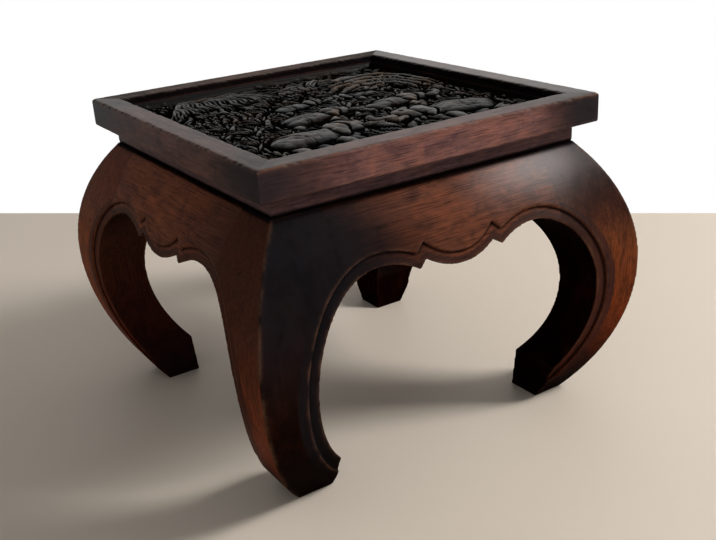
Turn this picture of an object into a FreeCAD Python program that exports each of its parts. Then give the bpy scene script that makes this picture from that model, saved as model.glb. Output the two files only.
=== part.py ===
"""Low square side table with a bulging base, four scrolled legs and a framed carved top.

The base is a block that swells between the neck and the feet. Shaped arches cut through it both
ways leave four legs and four aprons, with a sunk lip along every arch. A mitred neck stands on the
base and carries a mitred frame with the carved panel let into it.

Frame: millimetres, +Z up, floor at Z = 0, the table's centre line on Z, the front face towards -Y.
"""
import FreeCAD, Part
import math
import os

import Sketcher
from FreeCAD import Placement, Rotation, Vector

document = FreeCAD.newDocument("side_table")
sheet = document.addObject("Spreadsheet::Sheet", "sizes")

# Driving dimensions, in millimetres
SIZES = {
    # top frame and panel
    "top_side": 500.0,
    "table_height": 432.0,
    "frame_height": 38.0,
    "frame_land": 32.0,
    "recess_depth": 9.0,
    "ledge_width": 12.0,
    "seat_thickness": 12.0,
    "panel_clearance": 0.5,
    # carving of the panel: its plain rim, the depth of its ground, and how far its forms stand up from it
    "carving_margin": 5.0,
    "carving_depth": 9.5,
    "bush_lift": 4.5,
    "far_lift": 5.8,
    "middle_lift": 7.2,
    "near_lift": 8.6,
    "stem_width": 9.0,
    # loose splines in the frame's mitres
    "spline_length": 20.0,
    "spline_width": 20.0,
    "spline_thickness": 4.0,
    "spline_clearance": 0.3,
    # neck between the base and the top
    "neck_height": 26.0,
    "neck_setback": 23.0,
    "neck_shelf": 14.0,
    # outer swell of the base, with the belly's drop below the neck
    "shoulder_step": 1.0,
    "belly_reach": 43.5,
    "belly_drop": 168.0,
    "foot_setback": 27.5,
    # legs, seen from the front, with the bend's drop below the arch's crown
    "shoulder_width": 63.0,
    "foot_width": 50.0,
    "toe_height": 56.0,
    "toe_lean": 4.0,
    "leg_thickness": 75.0,
    "bend_drop": 122.5,
    # aprons, with their height at the arch's crowns, and the shaped edge under them
    "apron_thickness": 26.0,
    "apron_height": 73.5,
    "crown_spacing": 236.0,
    "cusp_spacing": 126.0,
    "cusp_drop": 15.5,
    "notch_spacing": 104.0,
    "notch_drop": 6.0,
    "lobe_drop": 22.5,
    "lip_width": 16.0,
    "lip_depth": 3.5,
    # dowels between the aprons and the legs
    "dowel_diameter": 10.0,
    "dowel_length": 50.0,
    "dowel_edge": 22.0,
    "dowel_pitch": 34.0,
    # screws that hold the neck to the legs and the top to the neck
    "screw_diameter": 4.0,
    "screw_head_diameter": 8.0,
    "screw_head_height": 3.0,
    "neck_screw_edge": 18.0,
    "neck_screw_bite": 30.0,
    "top_screw_pitch": 180.0,
    "top_screw_bite": 9.0,
    # fits and cuts
    "hole_clearance": 0.1,
    "overrun": 5.0,
}

# Main forms of the carving, seen from above with the table's back up, as shares of the panel's half width
# Elephants at each distance: their feet across and up, their height, the way they face, trunk raised or not
ELEPHANT_SHARES = {
    "far": ((0.34, 0.01, 0.25, -1, False), (-0.17, 0.0, 0.26, 1, True)),
    "middle": ((0.36, -0.42, 0.35, 1, True), (-0.27, -0.43, 0.38, 1, False)),
    "near": ((0.53, -0.92, 0.48, -1, True), (-0.51, -0.91, 0.47, 1, False)),
}
# Thatched huts: the foot of the wall across and up, and the width
HUT_SHARES = ((-0.51, 0.22, 0.77), (0.07, 0.43, 0.32))
# Palms at each distance: the stem's foot, middle and top, and the reach of the fronds
PALM_SHARES = {
    "far": ((0.18, 0.29), (0.18, 0.49), (0.24, 0.67), 0.25),
    "middle": ((0.78, -0.42), (0.81, -0.02), (0.62, 0.34), 0.45),
}
# Bushes: the middle across and up, and the half width and half height
BUSH_SHARES = (
    (0.15, 0.86, 0.15, 0.11), (0.47, 0.89, 0.18, 0.09), (0.81, 0.88, 0.18, 0.11),
    (-0.86, 0.87, 0.15, 0.09), (-0.11, 0.27, 0.20, 0.12), (0.36, 0.30, 0.21, 0.13),
    (0.73, 0.51, 0.20, 0.15), (-0.49, 0.20, 0.20, 0.07), (-0.74, 0.13, 0.22, 0.20),
    (-0.58, -0.21, 0.17, 0.09), (0.91, 0.18, 0.07, 0.17), (0.06, -0.47, 0.13, 0.07),
    (0.89, -0.45, 0.10, 0.17), (-0.87, -0.45, 0.12, 0.15), (0.01, -0.87, 0.14, 0.09),
    (-0.92, -0.84, 0.06, 0.12),
)

# An elephant in profile, facing right, from the heel of its hind foot, in shares of its height
# Each step is the end of a straight stretch, or a point that an arc passes and the arc's end
HEEL_SHARES = (-0.55, 0.0)
LEGS_SHARES = (((-0.33, 0.0),), ((-0.28, 0.32),), ((-0.06, 0.29), (0.11, 0.33)), ((0.12, 0.0),),
               ((0.37, 0.0),), ((0.42, 0.46),), ((0.70, 0.56),))
TRUNK_DOWN_SHARES = (((0.90, 0.44), (0.895, 0.10)), ((0.985, 0.10),), ((1.10, 0.45), (0.88, 0.84)))
TRUNK_UP_SHARES = (((1.14, 0.66), (1.165, 1.02)), ((1.075, 1.02),), ((1.03, 0.80), (0.88, 0.84)))
BACK_SHARES = (((0.66, 1.10), (0.42, 1.00)), ((-0.10, 1.03), (-0.55, 0.80)), ((-0.68, 0.55), HEEL_SHARES))

# A hut's wall and roof, from the foot of its wall, in shares of its width
WALL_SHARES = ((-0.40, 0.15), (0.40, 0.15), (0.40, 0.42), (-0.40, 0.42))
ROOF_SHARES = ((-0.60, 0.36), (0.60, 0.36), (0.30, 0.80), (-0.30, 0.80))

# A palm's fronds: their directions in degrees, and in shares of their reach their sag, arch and half width
FROND_TURNS = (212, 186, 158, 132, 50, 22, -8, -32)
FROND_SAG_SHARE = 0.35
FROND_ARCH_SHARE = 0.24
FROND_WIDTH_SHARE = 0.11

# Sides of the table in order, each a quarter turn after the one before
SIDES = ("front", "right", "back", "left")
CORNERS = ("front_right", "back_right", "back_left", "front_left")
CORNER_SIGNS = ((1, -1), (1, 1), (-1, 1), (-1, -1))
QUARTER_TURN = 90.0


def fill_sheet():
    """Writes every driving dimension into the sheet under its own alias."""
    for row, (alias, value) in enumerate(SIZES.items(), start=1):
        sheet.set(f"A{row}", alias)
        sheet.set(f"B{row}", str(value))
        sheet.setAlias(f"B{row}", alias)
    document.recompute()


fill_sheet()


def size(alias):
    """Reads one driving dimension from the sheet."""
    return float(sheet.get(alias))


# Arc of the base above the belly, and where the back of an apron's top edge stands, in the sheet's own terms
BULGE_REACH = "(sizes.belly_reach + sizes.neck_setback - sizes.shoulder_step)"
BULGE_RADIUS = f"(({BULGE_REACH} ^ 2 + sizes.belly_drop ^ 2) / (2 * {BULGE_REACH}))"
BACK_RUN = f"sqrt(({BULGE_RADIUS} - sizes.apron_thickness) ^ 2 - sizes.belly_drop ^ 2)"
APRON_BACK = f"(sizes.top_side / 2 + sizes.belly_reach - {BULGE_RADIUS} + {BACK_RUN})"

# Heights and half widths that several pieces share, in the sheet's own terms
EXPRESSIONS = {
    "top_half": "(sizes.top_side / 2)",
    "frame_bottom": "(sizes.table_height - sizes.frame_height)",
    "land_half": "(sizes.top_side / 2 - sizes.frame_land)",
    "ledge_half": "(sizes.top_side / 2 - sizes.frame_land - sizes.ledge_width)",
    "ledge_height": "(sizes.table_height - sizes.recess_depth)",
    "seat_height": "(sizes.table_height - sizes.frame_height + sizes.seat_thickness)",
    "panel_half": "(sizes.top_side / 2 - sizes.frame_land - sizes.ledge_width - sizes.panel_clearance)",
    "carving_ground": "(sizes.table_height - sizes.recess_depth - sizes.carving_depth)",
    "neck_half": "(sizes.top_side / 2 - sizes.neck_setback)",
    "neck_inner": f"({APRON_BACK} - sizes.neck_shelf)",
    "neck_bottom": "(sizes.table_height - sizes.frame_height - sizes.neck_height)",
    "apron_end": "(sizes.top_side / 2 - sizes.neck_setback + sizes.shoulder_step - sizes.shoulder_width)",
    "belly_half": "(sizes.top_side / 2 + sizes.belly_reach)",
    "belly_height": "(sizes.table_height - sizes.frame_height - sizes.neck_height - sizes.belly_drop)",
}

# Spans between the seams, and from a seam to past the belly on either side
BETWEEN = ("-{apron_end}", "{apron_end}")
OUTSIDE = ("{apron_end}", "{belly_half} + sizes.overrun")
OUTSIDE_BACK = ("-({belly_half} + sizes.overrun)", "-{apron_end}")

# The same shared sizes as numbers, for outlines drawn by formula
TOP_HALF = size("top_side") / 2
FRAME_BOTTOM = size("table_height") - size("frame_height")
NECK_BOTTOM = FRAME_BOTTOM - size("neck_height")
NECK_HALF = TOP_HALF - size("neck_setback")
LAND_HALF = TOP_HALF - size("frame_land")
PANEL_HALF = LAND_HALF - size("ledge_width") - size("panel_clearance")
CARVING_GROUND = size("table_height") - size("recess_depth") - size("carving_depth")
SHOULDER_HALF = NECK_HALF + size("shoulder_step")
BELLY_HALF = TOP_HALF + size("belly_reach")
BELLY_HEIGHT = NECK_BOTTOM - size("belly_drop")
CROWN_HEIGHT = NECK_BOTTOM - size("apron_height")
BEND_HEIGHT = CROWN_HEIGHT - size("bend_drop")
FOOT_OUTER = TOP_HALF - size("foot_setback")
FOOT_INNER = FOOT_OUTER - size("foot_width")
APRON_END = SHOULDER_HALF - size("shoulder_width")
BEND_HALF = BELLY_HALF - size("leg_thickness")
CROWN = size("crown_spacing") / 2


def bulge_radius(reach, rise):
    """Radius of an arc that leaves the belly upright and moves in by reach over rise."""
    return (reach ** 2 + rise ** 2) / (2 * reach)


UPPER_RADIUS = bulge_radius(BELLY_HALF - SHOULDER_HALF, size("belly_drop"))
LOWER_RADIUS = bulge_radius(BELLY_HALF - FOOT_OUTER, BELLY_HEIGHT)


def swell(height, sunk=0.0):
    """Half width of the base's outer surface at a height, moved in by sunk."""
    above = height - BELLY_HEIGHT
    radius = UPPER_RADIUS if above > 0 else LOWER_RADIUS
    return BELLY_HALF - radius + math.sqrt((radius - sunk) ** 2 - above ** 2)


# The neck's rails reach past the back of the aprons, and the frame's rails are flush with them inside
APRON_BACK_HALF = swell(NECK_BOTTOM, size("apron_thickness"))
NECK_INNER = APRON_BACK_HALF - size("neck_shelf")
RAIL_HALVES = {"top_half": TOP_HALF, "neck_half": NECK_HALF, "neck_inner": NECK_INNER}


def add(kind, name, **properties):
    """Adds one object to the document and sets its plain properties."""
    item = document.addObject(kind, name)
    for key, value in properties.items():
        setattr(item, key, value)
    return item


def bind(item, **expressions):
    """Ties properties of an object to the sheet; shared sizes are written in braces."""
    for key, text in expressions.items():
        item.setExpression(key.replace("__", "."), text.format(**EXPRESSIONS))
    return item


def cut(name, base, *tools):
    """Takes one or more tools from a base."""
    tool = tools[0] if len(tools) == 1 else add("Part::MultiFuse", f"{name}_tools", Shapes=list(tools))
    return add("Part::Cut", name, Base=base, Tool=tool)


def common(name, base, tool):
    return add("Part::Common", name, Base=base, Tool=tool)


def turned(quarter):
    """Placement that carries a front piece to another side."""
    return Placement(Vector(), Rotation(Vector(0, 0, 1), QUARTER_TURN * quarter))


# Outlines drawn by formula


def arc(centre, start, end):
    """Arc edge about a centre, by the short way round from start to end."""
    middle = (start - centre).normalize() + (end - centre).normalize()
    middle = centre + middle.normalize() * (start - centre).Length
    return Part.Arc(start, middle, end).toShape()


def line(start, end):
    return Part.makeLine(start, end)


def crossing(start, end, centre, radius, near):
    """Where a straight line through two points meets a circle, the one nearest to a point."""
    along = (end - start).normalize()
    foot = start + along * (centre - start).dot(along)
    reach = math.sqrt(radius ** 2 - (foot - centre).Length ** 2)
    return min((foot + along * reach, foot - along * reach), key=lambda point: (point - near).Length)


def upright(across, height):
    """Point of an outline drawn on the front's XZ plane."""
    return Vector(across, 0, height)


def mirrored(edge):
    return edge.mirror(Vector(), Vector(1, 0, 0))


def outline_face(name, edges, quarter):
    """Flat face from an outline on the XZ plane, turned to face another side."""
    face = Part.Face(Part.Wire(Part.__sortEdges__(edges)))
    item = document.addObject("Part::Feature", name)
    item.Shape = face
    item.Placement = turned(quarter)
    return item


def swell_edges(sunk):
    """Section of the base: flat foot line, swelling sides and flat shoulder, moved in by sunk."""
    lower_centre = upright(BELLY_HALF - LOWER_RADIUS, BELLY_HEIGHT)
    upper_centre = upright(BELLY_HALF - UPPER_RADIUS, BELLY_HEIGHT)
    foot = upright(swell(0.0, sunk), 0)
    belly = upright(BELLY_HALF - sunk, BELLY_HEIGHT)
    shoulder = upright(swell(NECK_BOTTOM, sunk), NECK_BOTTOM)
    sides = [arc(lower_centre, foot, belly), arc(upper_centre, belly, shoulder)]
    flats = [line(upright(-foot.x, 0), foot), line(upright(-shoulder.x, NECK_BOTTOM), shoulder)]
    return sides + [mirrored(edge) for edge in sides] + flats


def hollow_edges():
    """Section of the space behind an apron, parallel to the swell above the belly."""
    centre = upright(BELLY_HALF - UPPER_RADIUS, BELLY_HEIGHT)
    belly = upright(BELLY_HALF - size("apron_thickness"), BELLY_HEIGHT)
    top = upright(APRON_BACK_HALF, NECK_BOTTOM)
    sides = [arc(centre, belly, top)]
    flats = [line(upright(-belly.x, BELLY_HEIGHT), belly), line(upright(-top.x, NECK_BOTTOM), top)]
    return sides + [mirrored(edge) for edge in sides] + flats


def arch_edges(grow):
    """Shaped opening between two legs, or with grow the lip's line outside its edge."""
    lobe = upright(0, CROWN_HEIGHT - size("lobe_drop"))
    notch = upright(size("notch_spacing") / 2, CROWN_HEIGHT - size("notch_drop"))
    cusp = upright(size("cusp_spacing") / 2, CROWN_HEIGHT - size("cusp_drop"))
    toe_foot = upright(FOOT_INNER, 0)
    toe_top = upright(FOOT_INNER + size("toe_lean"), size("toe_height"))

    lobe_radius = bulge_radius(notch.z - lobe.z, notch.x)
    lobe_centre = lobe + upright(0, lobe_radius)
    brow_radius = bulge_radius(size("cusp_drop"), CROWN - cusp.x)
    brow_centre = upright(CROWN, CROWN_HEIGHT - brow_radius)
    shin_radius = bulge_radius(BEND_HALF - toe_top.x, BEND_HEIGHT - toe_top.z)
    shin_centre = upright(BEND_HALF - shin_radius, BEND_HEIGHT)

    slope = cusp - notch
    outward = upright(-slope.z, slope.x).normalize() * grow
    step = (notch + outward, cusp + outward)
    lip_notch = crossing(*step, lobe_centre, lobe_radius - grow, step[0])
    lip_cusp = crossing(*step, brow_centre, brow_radius + grow, step[1])
    crown = upright(CROWN, CROWN_HEIGHT + grow)
    knee = upright(BEND_HALF + grow, BEND_HEIGHT)
    toe = crossing(toe_foot, toe_top, shin_centre, shin_radius + grow, toe_top)
    below = toe_foot - upright(0, size("overrun"))

    quarter = Part.BezierCurve()
    quarter.setPoles([crown, upright(knee.x, crown.z), knee])
    quarter.setWeight(2, math.sqrt(0.5))
    half = [
        line(lip_notch, lip_cusp),
        arc(brow_centre, lip_cusp, crown),
        quarter.toShape(),
        arc(shin_centre, knee, toe),
        line(toe, toe_foot),
        line(toe_foot, below),
    ]
    middle = [arc(lobe_centre, upright(-lip_notch.x, lip_notch.z), lip_notch),
              line(upright(-below.x, below.z), below)]
    return half + [mirrored(edge) for edge in half] + middle


def through(name, face, quarter):
    """Prism of an upright outline, run right through the base and past both its faces."""
    direction = turned(quarter).multVec(Vector(0, 1, 0))
    prism = add("Part::Extrusion", name, Base=face, DirMode="Custom", Dir=direction, Solid=True,
                Symmetric=True)
    return bind(prism, LengthFwd="2 * ({belly_half} + sizes.overrun)")


def both_ways(name, edges):
    """The same outline run through the base from front to back and from side to side."""
    return [through(f"{name}_prism_{quarter}", outline_face(f"{name}_outline_{quarter}", edges, quarter),
                    quarter) for quarter in (0, 1)]


# Outlines of the carving, drawn flat on its ground


def carving_point(across, up):
    """Point on the carving's ground, given as shares of the panel's half width."""
    return Vector(across * PANEL_HALF, up * PANEL_HALF, CARVING_GROUND)


def flat_face(edges):
    """Flat face within a closed run of edges, facing up."""
    face = Part.Face(Part.Wire(edges))
    if face.normalAt(0, 0).z < 0:
        face.reverse()
    return face


def traced_face(start, steps, place):
    """Face within a run of straight stretches and arcs; place turns shares into a point."""
    edges = []
    here = place(*start)
    for step in steps:
        points = [place(*shares) for shares in step]
        edges.append(line(here, points[0]) if len(points) == 1 else Part.Arc(here, *points).toShape())
        here = points[-1]
    return flat_face(edges)


def elephant_face(across, up, height, facing, raised):
    trunk = TRUNK_UP_SHARES if raised else TRUNK_DOWN_SHARES
    return traced_face(HEEL_SHARES, LEGS_SHARES + trunk + BACK_SHARES,
                       lambda x, y: carving_point(across + facing * x * height, up + y * height))


def hut_face(shares, across, up, width):
    """Wall or roof of a hut, as a polygon."""
    steps = [(corner,) for corner in shares[1:] + shares[:1]]
    return traced_face(shares[0], steps, lambda x, y: carving_point(across + x * width, up + y * width))


def bush_face(across, up, half_width, half_height):
    ends = [carving_point(across + half_width, up), carving_point(across, up + half_height)]
    centre = carving_point(across, up)
    longer, shorter = sorted(ends, key=lambda end: -(end - centre).Length)
    return flat_face([Part.Ellipse(longer, shorter, centre).toShape()])


def crescent(start, middle, end, half_width):
    """Face between two arcs that part from a start and meet again at an end."""
    along = (end - start).normalize()
    aside = Vector(-along.y, along.x, 0) * half_width
    return flat_face([Part.Arc(start, middle + aside, end).toShape(),
                      Part.Arc(end, middle - aside, start).toShape()])


def palm_faces(foot, middle, top, reach):
    """A palm's stem, of even width, and the fronds of its crown."""
    foot, middle, top = (carving_point(*shares) for shares in (foot, middle, top))
    aside = Vector(size("stem_width") / 2, 0, 0)
    stem = flat_face([Part.Arc(foot - aside, middle - aside, top - aside).toShape(),
                      line(top - aside, top + aside),
                      Part.Arc(top + aside, middle + aside, foot + aside).toShape(),
                      line(foot + aside, foot - aside)])
    span = reach * PANEL_HALF
    fronds = []
    for turn in FROND_TURNS:
        out = Vector(math.cos(math.radians(turn)), math.sin(math.radians(turn)), 0)
        tip = top + (out - Vector(0, FROND_SAG_SHARE, 0)) * span
        arch = (top + tip) / 2 + Vector(0, FROND_ARCH_SHARE * span, 0)
        fronds.append(crescent(top, arch, tip, FROND_WIDTH_SHARE * span))
    return [stem] + fronds


def raised_form(name, faces, lift):
    """Prism that stands on the carving's ground over all the faces together."""
    item = document.addObject("Part::Feature", f"{name}_outline")
    item.Shape = faces[0].multiFuse(faces[1:]).removeSplitter()
    prism = add("Part::Extrusion", name, Base=item, DirMode="Custom", Dir=Vector(0, 0, 1), Solid=True)
    return bind(prism, LengthFwd=lift)


# Plain blocks and rods


def block(name, low_x, high_x, low_y, high_y, low_z, high_z):
    """Box between two corners, each given as an expression of the sheet."""
    box = add("Part::Box", name)
    return bind(box, Length=f"({high_x}) - ({low_x})", Width=f"({high_y}) - ({low_y})",
                Height=f"({high_z}) - ({low_z})", Placement__Base__x=low_x,
                Placement__Base__y=low_y, Placement__Base__z=low_z)


def rod(name, diameter, length, place):
    """Round rod along its placement's Z axis."""
    cylinder = add("Part::Cylinder", name, Placement=place)
    return bind(cylinder, Radius=f"({diameter}) / 2", Height=length)


def mitred_rail(name, outer, inner, bottom, height, quarter):
    """Rail of a square frame with mitred ends, padded up from its outline seen from above."""
    body = document.addObject("PartDesign::Body", name)
    sketch = body.newObject("Sketcher::SketchObject", f"{name}_outline")
    plane = next(item for item in body.Origin.OriginFeatures if item.Role == "XY_Plane")
    sketch.AttachmentSupport = (plane, "")
    sketch.MapMode = "FlatFace"
    draw_polygon(sketch, [(-1, outer), (1, outer), (1, inner), (-1, inner)])
    pad = body.newObject("PartDesign::Pad", f"{name}_pad")
    pad.Profile = sketch
    bind(pad, Length=height)
    body.Placement = turned(quarter)
    bind(body, Placement__Base__z=bottom)
    return body


def draw_polygon(sketch, corners):
    """Closed rail outline on the front side; a corner is a side and the half width it stands at."""
    points = [Vector(sign * RAIL_HALVES[half], -RAIL_HALVES[half], 0) for sign, half in corners]
    following = points[1:] + points[:1]
    for start, end in zip(points, following):
        sketch.addGeometry(Part.LineSegment(start, end))
    for index, (sign, half) in enumerate(corners):
        sketch.addConstraint(Sketcher.Constraint("Coincident", index, 2, (index + 1) % len(corners), 1))
        across = sketch.addConstraint(Sketcher.Constraint("DistanceX", -1, 1, index, 1, points[index].x))
        depth = sketch.addConstraint(Sketcher.Constraint("DistanceY", -1, 1, index, 1, points[index].y))
        place = {f"Constraints[{across}]": f"{sign} * {{{half}}}", f"Constraints[{depth}]": f"-{{{half}}}"}
        bind(sketch, **place)


# Sub-parts


def make_splines():
    """Loose splines across the top frame's mitres, and the slots they lie in."""
    middle = (TOP_HALF + LAND_HALF) / 2
    height = (FRAME_BOTTOM + size("table_height") - size("recess_depth")) / 2
    pieces = {}
    for kind, slack in (("mitre_spline", "0"), ("spline_slot", "sizes.spline_clearance")):
        boxes = []
        for quarter in range(len(SIDES)):
            box = add("Part::Box", f"{kind}_{CORNERS[quarter]}")
            bind(box, Length=f"sizes.spline_length + 2 * {slack}",
                 Width=f"sizes.spline_width + 2 * {slack}", Height="sizes.spline_thickness")
            grown = size("spline_clearance") if kind == "spline_slot" else 0.0
            lean = Rotation(Vector(0, 0, 1), QUARTER_TURN * quarter - QUARTER_TURN / 2)
            corner = turned(quarter).multVec(Vector(middle, -middle, height))
            offset = Vector(size("spline_length") / 2 + grown, size("spline_width") / 2 + grown,
                            size("spline_thickness") / 2)
            box.Placement = Placement(corner - lean.multVec(offset), lean)
            boxes.append(box)
        pieces[kind] = boxes
    slots = add("Part::Compound", "spline_slots", Links=pieces["spline_slot"])
    group = add("Part::Compound", "mitre_splines", Links=pieces["mitre_spline"])
    return group, slots


def make_screws(name, places, length):
    """Group of equal round-headed screws and the stepped holes they sit in.

    Each place puts the head's outer face at its origin, with the shank along its Z axis.
    """
    screws = []
    holes = []
    for number, place in enumerate(places, start=1):
        head = rod(f"{name}_head_{number}", "sizes.screw_head_diameter", "sizes.screw_head_height", place)
        shank = rod(f"{name}_shank_{number}", "sizes.screw_diameter", length, place)
        screws.append(add("Part::Fuse", f"{name}_{number}", Base=head, Tool=shank))
        holes.append(rod(f"{name}_sink_{number}", "sizes.screw_head_diameter + 2 * sizes.hole_clearance",
                         "sizes.screw_head_height", place))
        holes.append(rod(f"{name}_bore_{number}", "sizes.screw_diameter + 2 * sizes.hole_clearance",
                         length, place))
    bores = add("Part::MultiFuse", f"{name}_holes", Shapes=holes)
    return add("Part::Compound", f"{name}s", Links=screws), bores


def neck_screw_places():
    """Two screws down into each leg, one through each of the two neck rails that meet there."""
    along = APRON_END + size("neck_screw_edge")
    across = NECK_HALF - size("neck_screw_edge")
    down = Rotation(Vector(1, 0, 0), 2 * QUARTER_TURN)
    spots = [turned(quarter).multVec(Vector(sign * along, -across, FRAME_BOTTOM))
             for quarter in range(len(SIDES)) for sign in (-1, 1)]
    return [Placement(spot, down) for spot in spots]


def top_screw_places():
    """Two screws up through each neck rail, inside the apron's top edge."""
    across = (APRON_BACK_HALF + NECK_INNER) / 2
    half_pitch = size("top_screw_pitch") / 2
    spots = [turned(quarter).multVec(Vector(sign * half_pitch, -across, NECK_BOTTOM))
             for quarter in range(len(SIDES)) for sign in (-1, 1)]
    return [Placement(spot, Rotation()) for spot in spots]


def make_dowels():
    """Two dowels across each seam between an apron and a leg, and the holes they fill end to end."""
    dowels = []
    holes = []
    sideways = Rotation(Vector(0, 1, 0), QUARTER_TURN)
    for quarter in range(len(SIDES)):
        for sign in (-1, 1):
            for step in (0, 1):
                height = NECK_BOTTOM - size("dowel_edge") - step * size("dowel_pitch")
                across = swell(height, size("apron_thickness") / 2)
                start = Vector(sign * APRON_END - size("dowel_length") / 2, -across, height)
                place = turned(quarter) * Placement(start, sideways)
                number = len(dowels) + 1
                dowels.append(rod(f"apron_dowel_{number}", "sizes.dowel_diameter",
                                  "sizes.dowel_length", place))
                holes.append(rod(f"dowel_hole_{number}", "sizes.dowel_diameter + 2 * sizes.hole_clearance",
                                 "sizes.dowel_length", place))
    group = add("Part::Compound", "apron_dowels", Links=dowels)
    return group, add("Part::Compound", "dowel_holes", Links=holes)


def make_base(dowel_holes, neck_screw_holes):
    """Legs and aprons, cut from one swelling block by the arches and their sunk lips."""
    swell_prisms = both_ways("swell", swell_edges(0.0))
    swelling_block = common("swelling_block", *swell_prisms)
    arches = both_ways("arch", arch_edges(0.0))
    lips = both_ways("lip", arch_edges(size("lip_width")))
    cores = both_ways("core", swell_edges(size("lip_depth")))
    hollows = both_ways("hollow", hollow_edges())
    lip_cuts = [cut(f"lip_cut_{quarter}", lips[quarter], cores[1 - quarter]) for quarter in (0, 1)]
    under_space = add("Part::MultiFuse", "under_space", Shapes=arches + lip_cuts)

    legs = []
    aprons = []
    for quarter, (side, corner) in enumerate(zip(SIDES, CORNERS)):
        legs.append(make_leg(f"leg_{corner}", swelling_block, CORNER_SIGNS[quarter],
                             [under_space, dowel_holes, neck_screw_holes]))
        aprons.append(make_apron(f"apron_{side}", swelling_block, quarter,
                                 [under_space, hollows[(quarter + 1) % 2], dowel_holes]))
    return legs + aprons


def make_leg(name, swelling_block, signs, tools):
    """Leg outside both its seams, from the floor to the neck."""
    spans = [OUTSIDE if sign > 0 else OUTSIDE_BACK for sign in signs]
    room = block(f"{name}_room", *spans[0], *spans[1], "0", "{neck_bottom}")
    blank = common(f"{name}_blank", swelling_block, room)
    return cut(name, blank, *tools)


def make_apron(name, swelling_block, quarter, tools):
    """Apron between two seams, hollowed behind and shaped below."""
    spans = [(BETWEEN, OUTSIDE_BACK), (OUTSIDE, BETWEEN), (BETWEEN, OUTSIDE), (OUTSIDE_BACK, BETWEEN)]
    span_x, span_y = spans[quarter]
    room = block(f"{name}_room", *span_x, *span_y, "{belly_height}", "{neck_bottom}")
    blank = common(f"{name}_blank", swelling_block, room)
    return cut(name, blank, *tools)


def make_neck(neck_screw_holes, top_screw_holes):
    """Mitred neck rails, bored for both sets of screws."""
    rails = []
    for quarter, side in enumerate(SIDES):
        rail = mitred_rail(f"neck_{side}_blank", "neck_half", "neck_inner", "{neck_bottom}",
                           "sizes.neck_height", quarter)
        rails.append(cut(f"neck_{side}", rail, neck_screw_holes, top_screw_holes))
    return rails


def make_top(slots, top_screw_holes):
    """Mitred frame with a ledge and a seat for the panel, and the panel that rests on the seat."""
    above = "sizes.table_height + sizes.overrun"
    recess = block("frame_recess", "-{land_half}", "{land_half}", "-{land_half}", "{land_half}",
                   "{ledge_height}", above)
    panel_room = block("panel_room", "-{ledge_half}", "{ledge_half}", "-{ledge_half}", "{ledge_half}",
                       "{seat_height}", above)
    rails = []
    for quarter, side in enumerate(SIDES):
        rail = mitred_rail(f"top_rail_{side}_blank", "top_half", "neck_inner", "{frame_bottom}",
                           "sizes.frame_height", quarter)
        rails.append(cut(f"top_rail_{side}", rail, recess, panel_room, slots, top_screw_holes))
    return rails + [make_panel()]


def make_panel():
    """Panel with a plain rim round a sunk ground, on which the carving's main forms stand."""
    panel = block("panel_blank", "-{panel_half}", "{panel_half}", "-{panel_half}", "{panel_half}",
                  "{seat_height}", "{ledge_height}")
    inner = "({panel_half} - sizes.carving_margin)"
    room = block("carving_room", f"-{inner}", inner, f"-{inner}", inner,
                 "{carving_ground}", "{ledge_height} + sizes.overrun")
    forms = [raised_form("bush_forms", [bush_face(*shares) for shares in BUSH_SHARES]
                         + [hut_face(WALL_SHARES, *shares) for shares in HUT_SHARES], "sizes.bush_lift")]
    for distance, elephants in ELEPHANT_SHARES.items():
        faces = [elephant_face(*shares) for shares in elephants]
        if distance in PALM_SHARES:
            faces += palm_faces(*PALM_SHARES[distance])
        if distance == "far":
            faces += [hut_face(ROOF_SHARES, *shares) for shares in HUT_SHARES]
        forms.append(raised_form(f"{distance}_forms", faces, f"sizes.{distance}_lift"))
    carving = common("carving", add("Part::MultiFuse", "carving_forms", Shapes=forms), room)
    return add("Part::Fuse", "carved_panel", Base=cut("sunk_panel", panel, room), Tool=carving, Refine=True)


def make_table():
    splines, slots = make_splines()
    dowels, dowel_holes = make_dowels()
    neck_screws, neck_screw_holes = make_screws(
        "neck_screw", neck_screw_places(), "sizes.neck_height + sizes.neck_screw_bite")
    top_screws, top_screw_holes = make_screws(
        "top_screw", top_screw_places(), "sizes.neck_height + sizes.top_screw_bite")
    pieces = make_top(slots, top_screw_holes)
    pieces += make_neck(neck_screw_holes, top_screw_holes)
    pieces += make_base(dowel_holes, neck_screw_holes)
    return pieces + [splines, dowels, neck_screws, top_screws]


def check(pieces):
    """Stops if any object failed to build or any piece is empty or broken."""
    failed = [item.Name for item in document.Objects if {"Invalid", "Error"} & set(item.State)]
    if failed:
        raise RuntimeError(f"not built: {failed}")
    for piece in pieces:
        if piece.Shape.isNull() or not piece.Shape.isValid() or not piece.Shape.Solids:
            raise RuntimeError(f"bad shape: {piece.Label}")


def export(pieces):
    os.makedirs("parts", exist_ok=True)
    for piece in pieces:
        piece.Shape.exportStep(f"parts/{piece.Label}.step")
        print(piece.Label, len(piece.Shape.Solids), round(piece.Shape.Volume))


table = make_table()
document.recompute()
check(table)
export(table)
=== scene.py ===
"""Dresses the side table: worn dark wood on every piece, a carved relief panel, a pale studio."""
import math

import bmesh
import bpy
import numpy as np
from mathutils import Matrix, Vector


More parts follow.
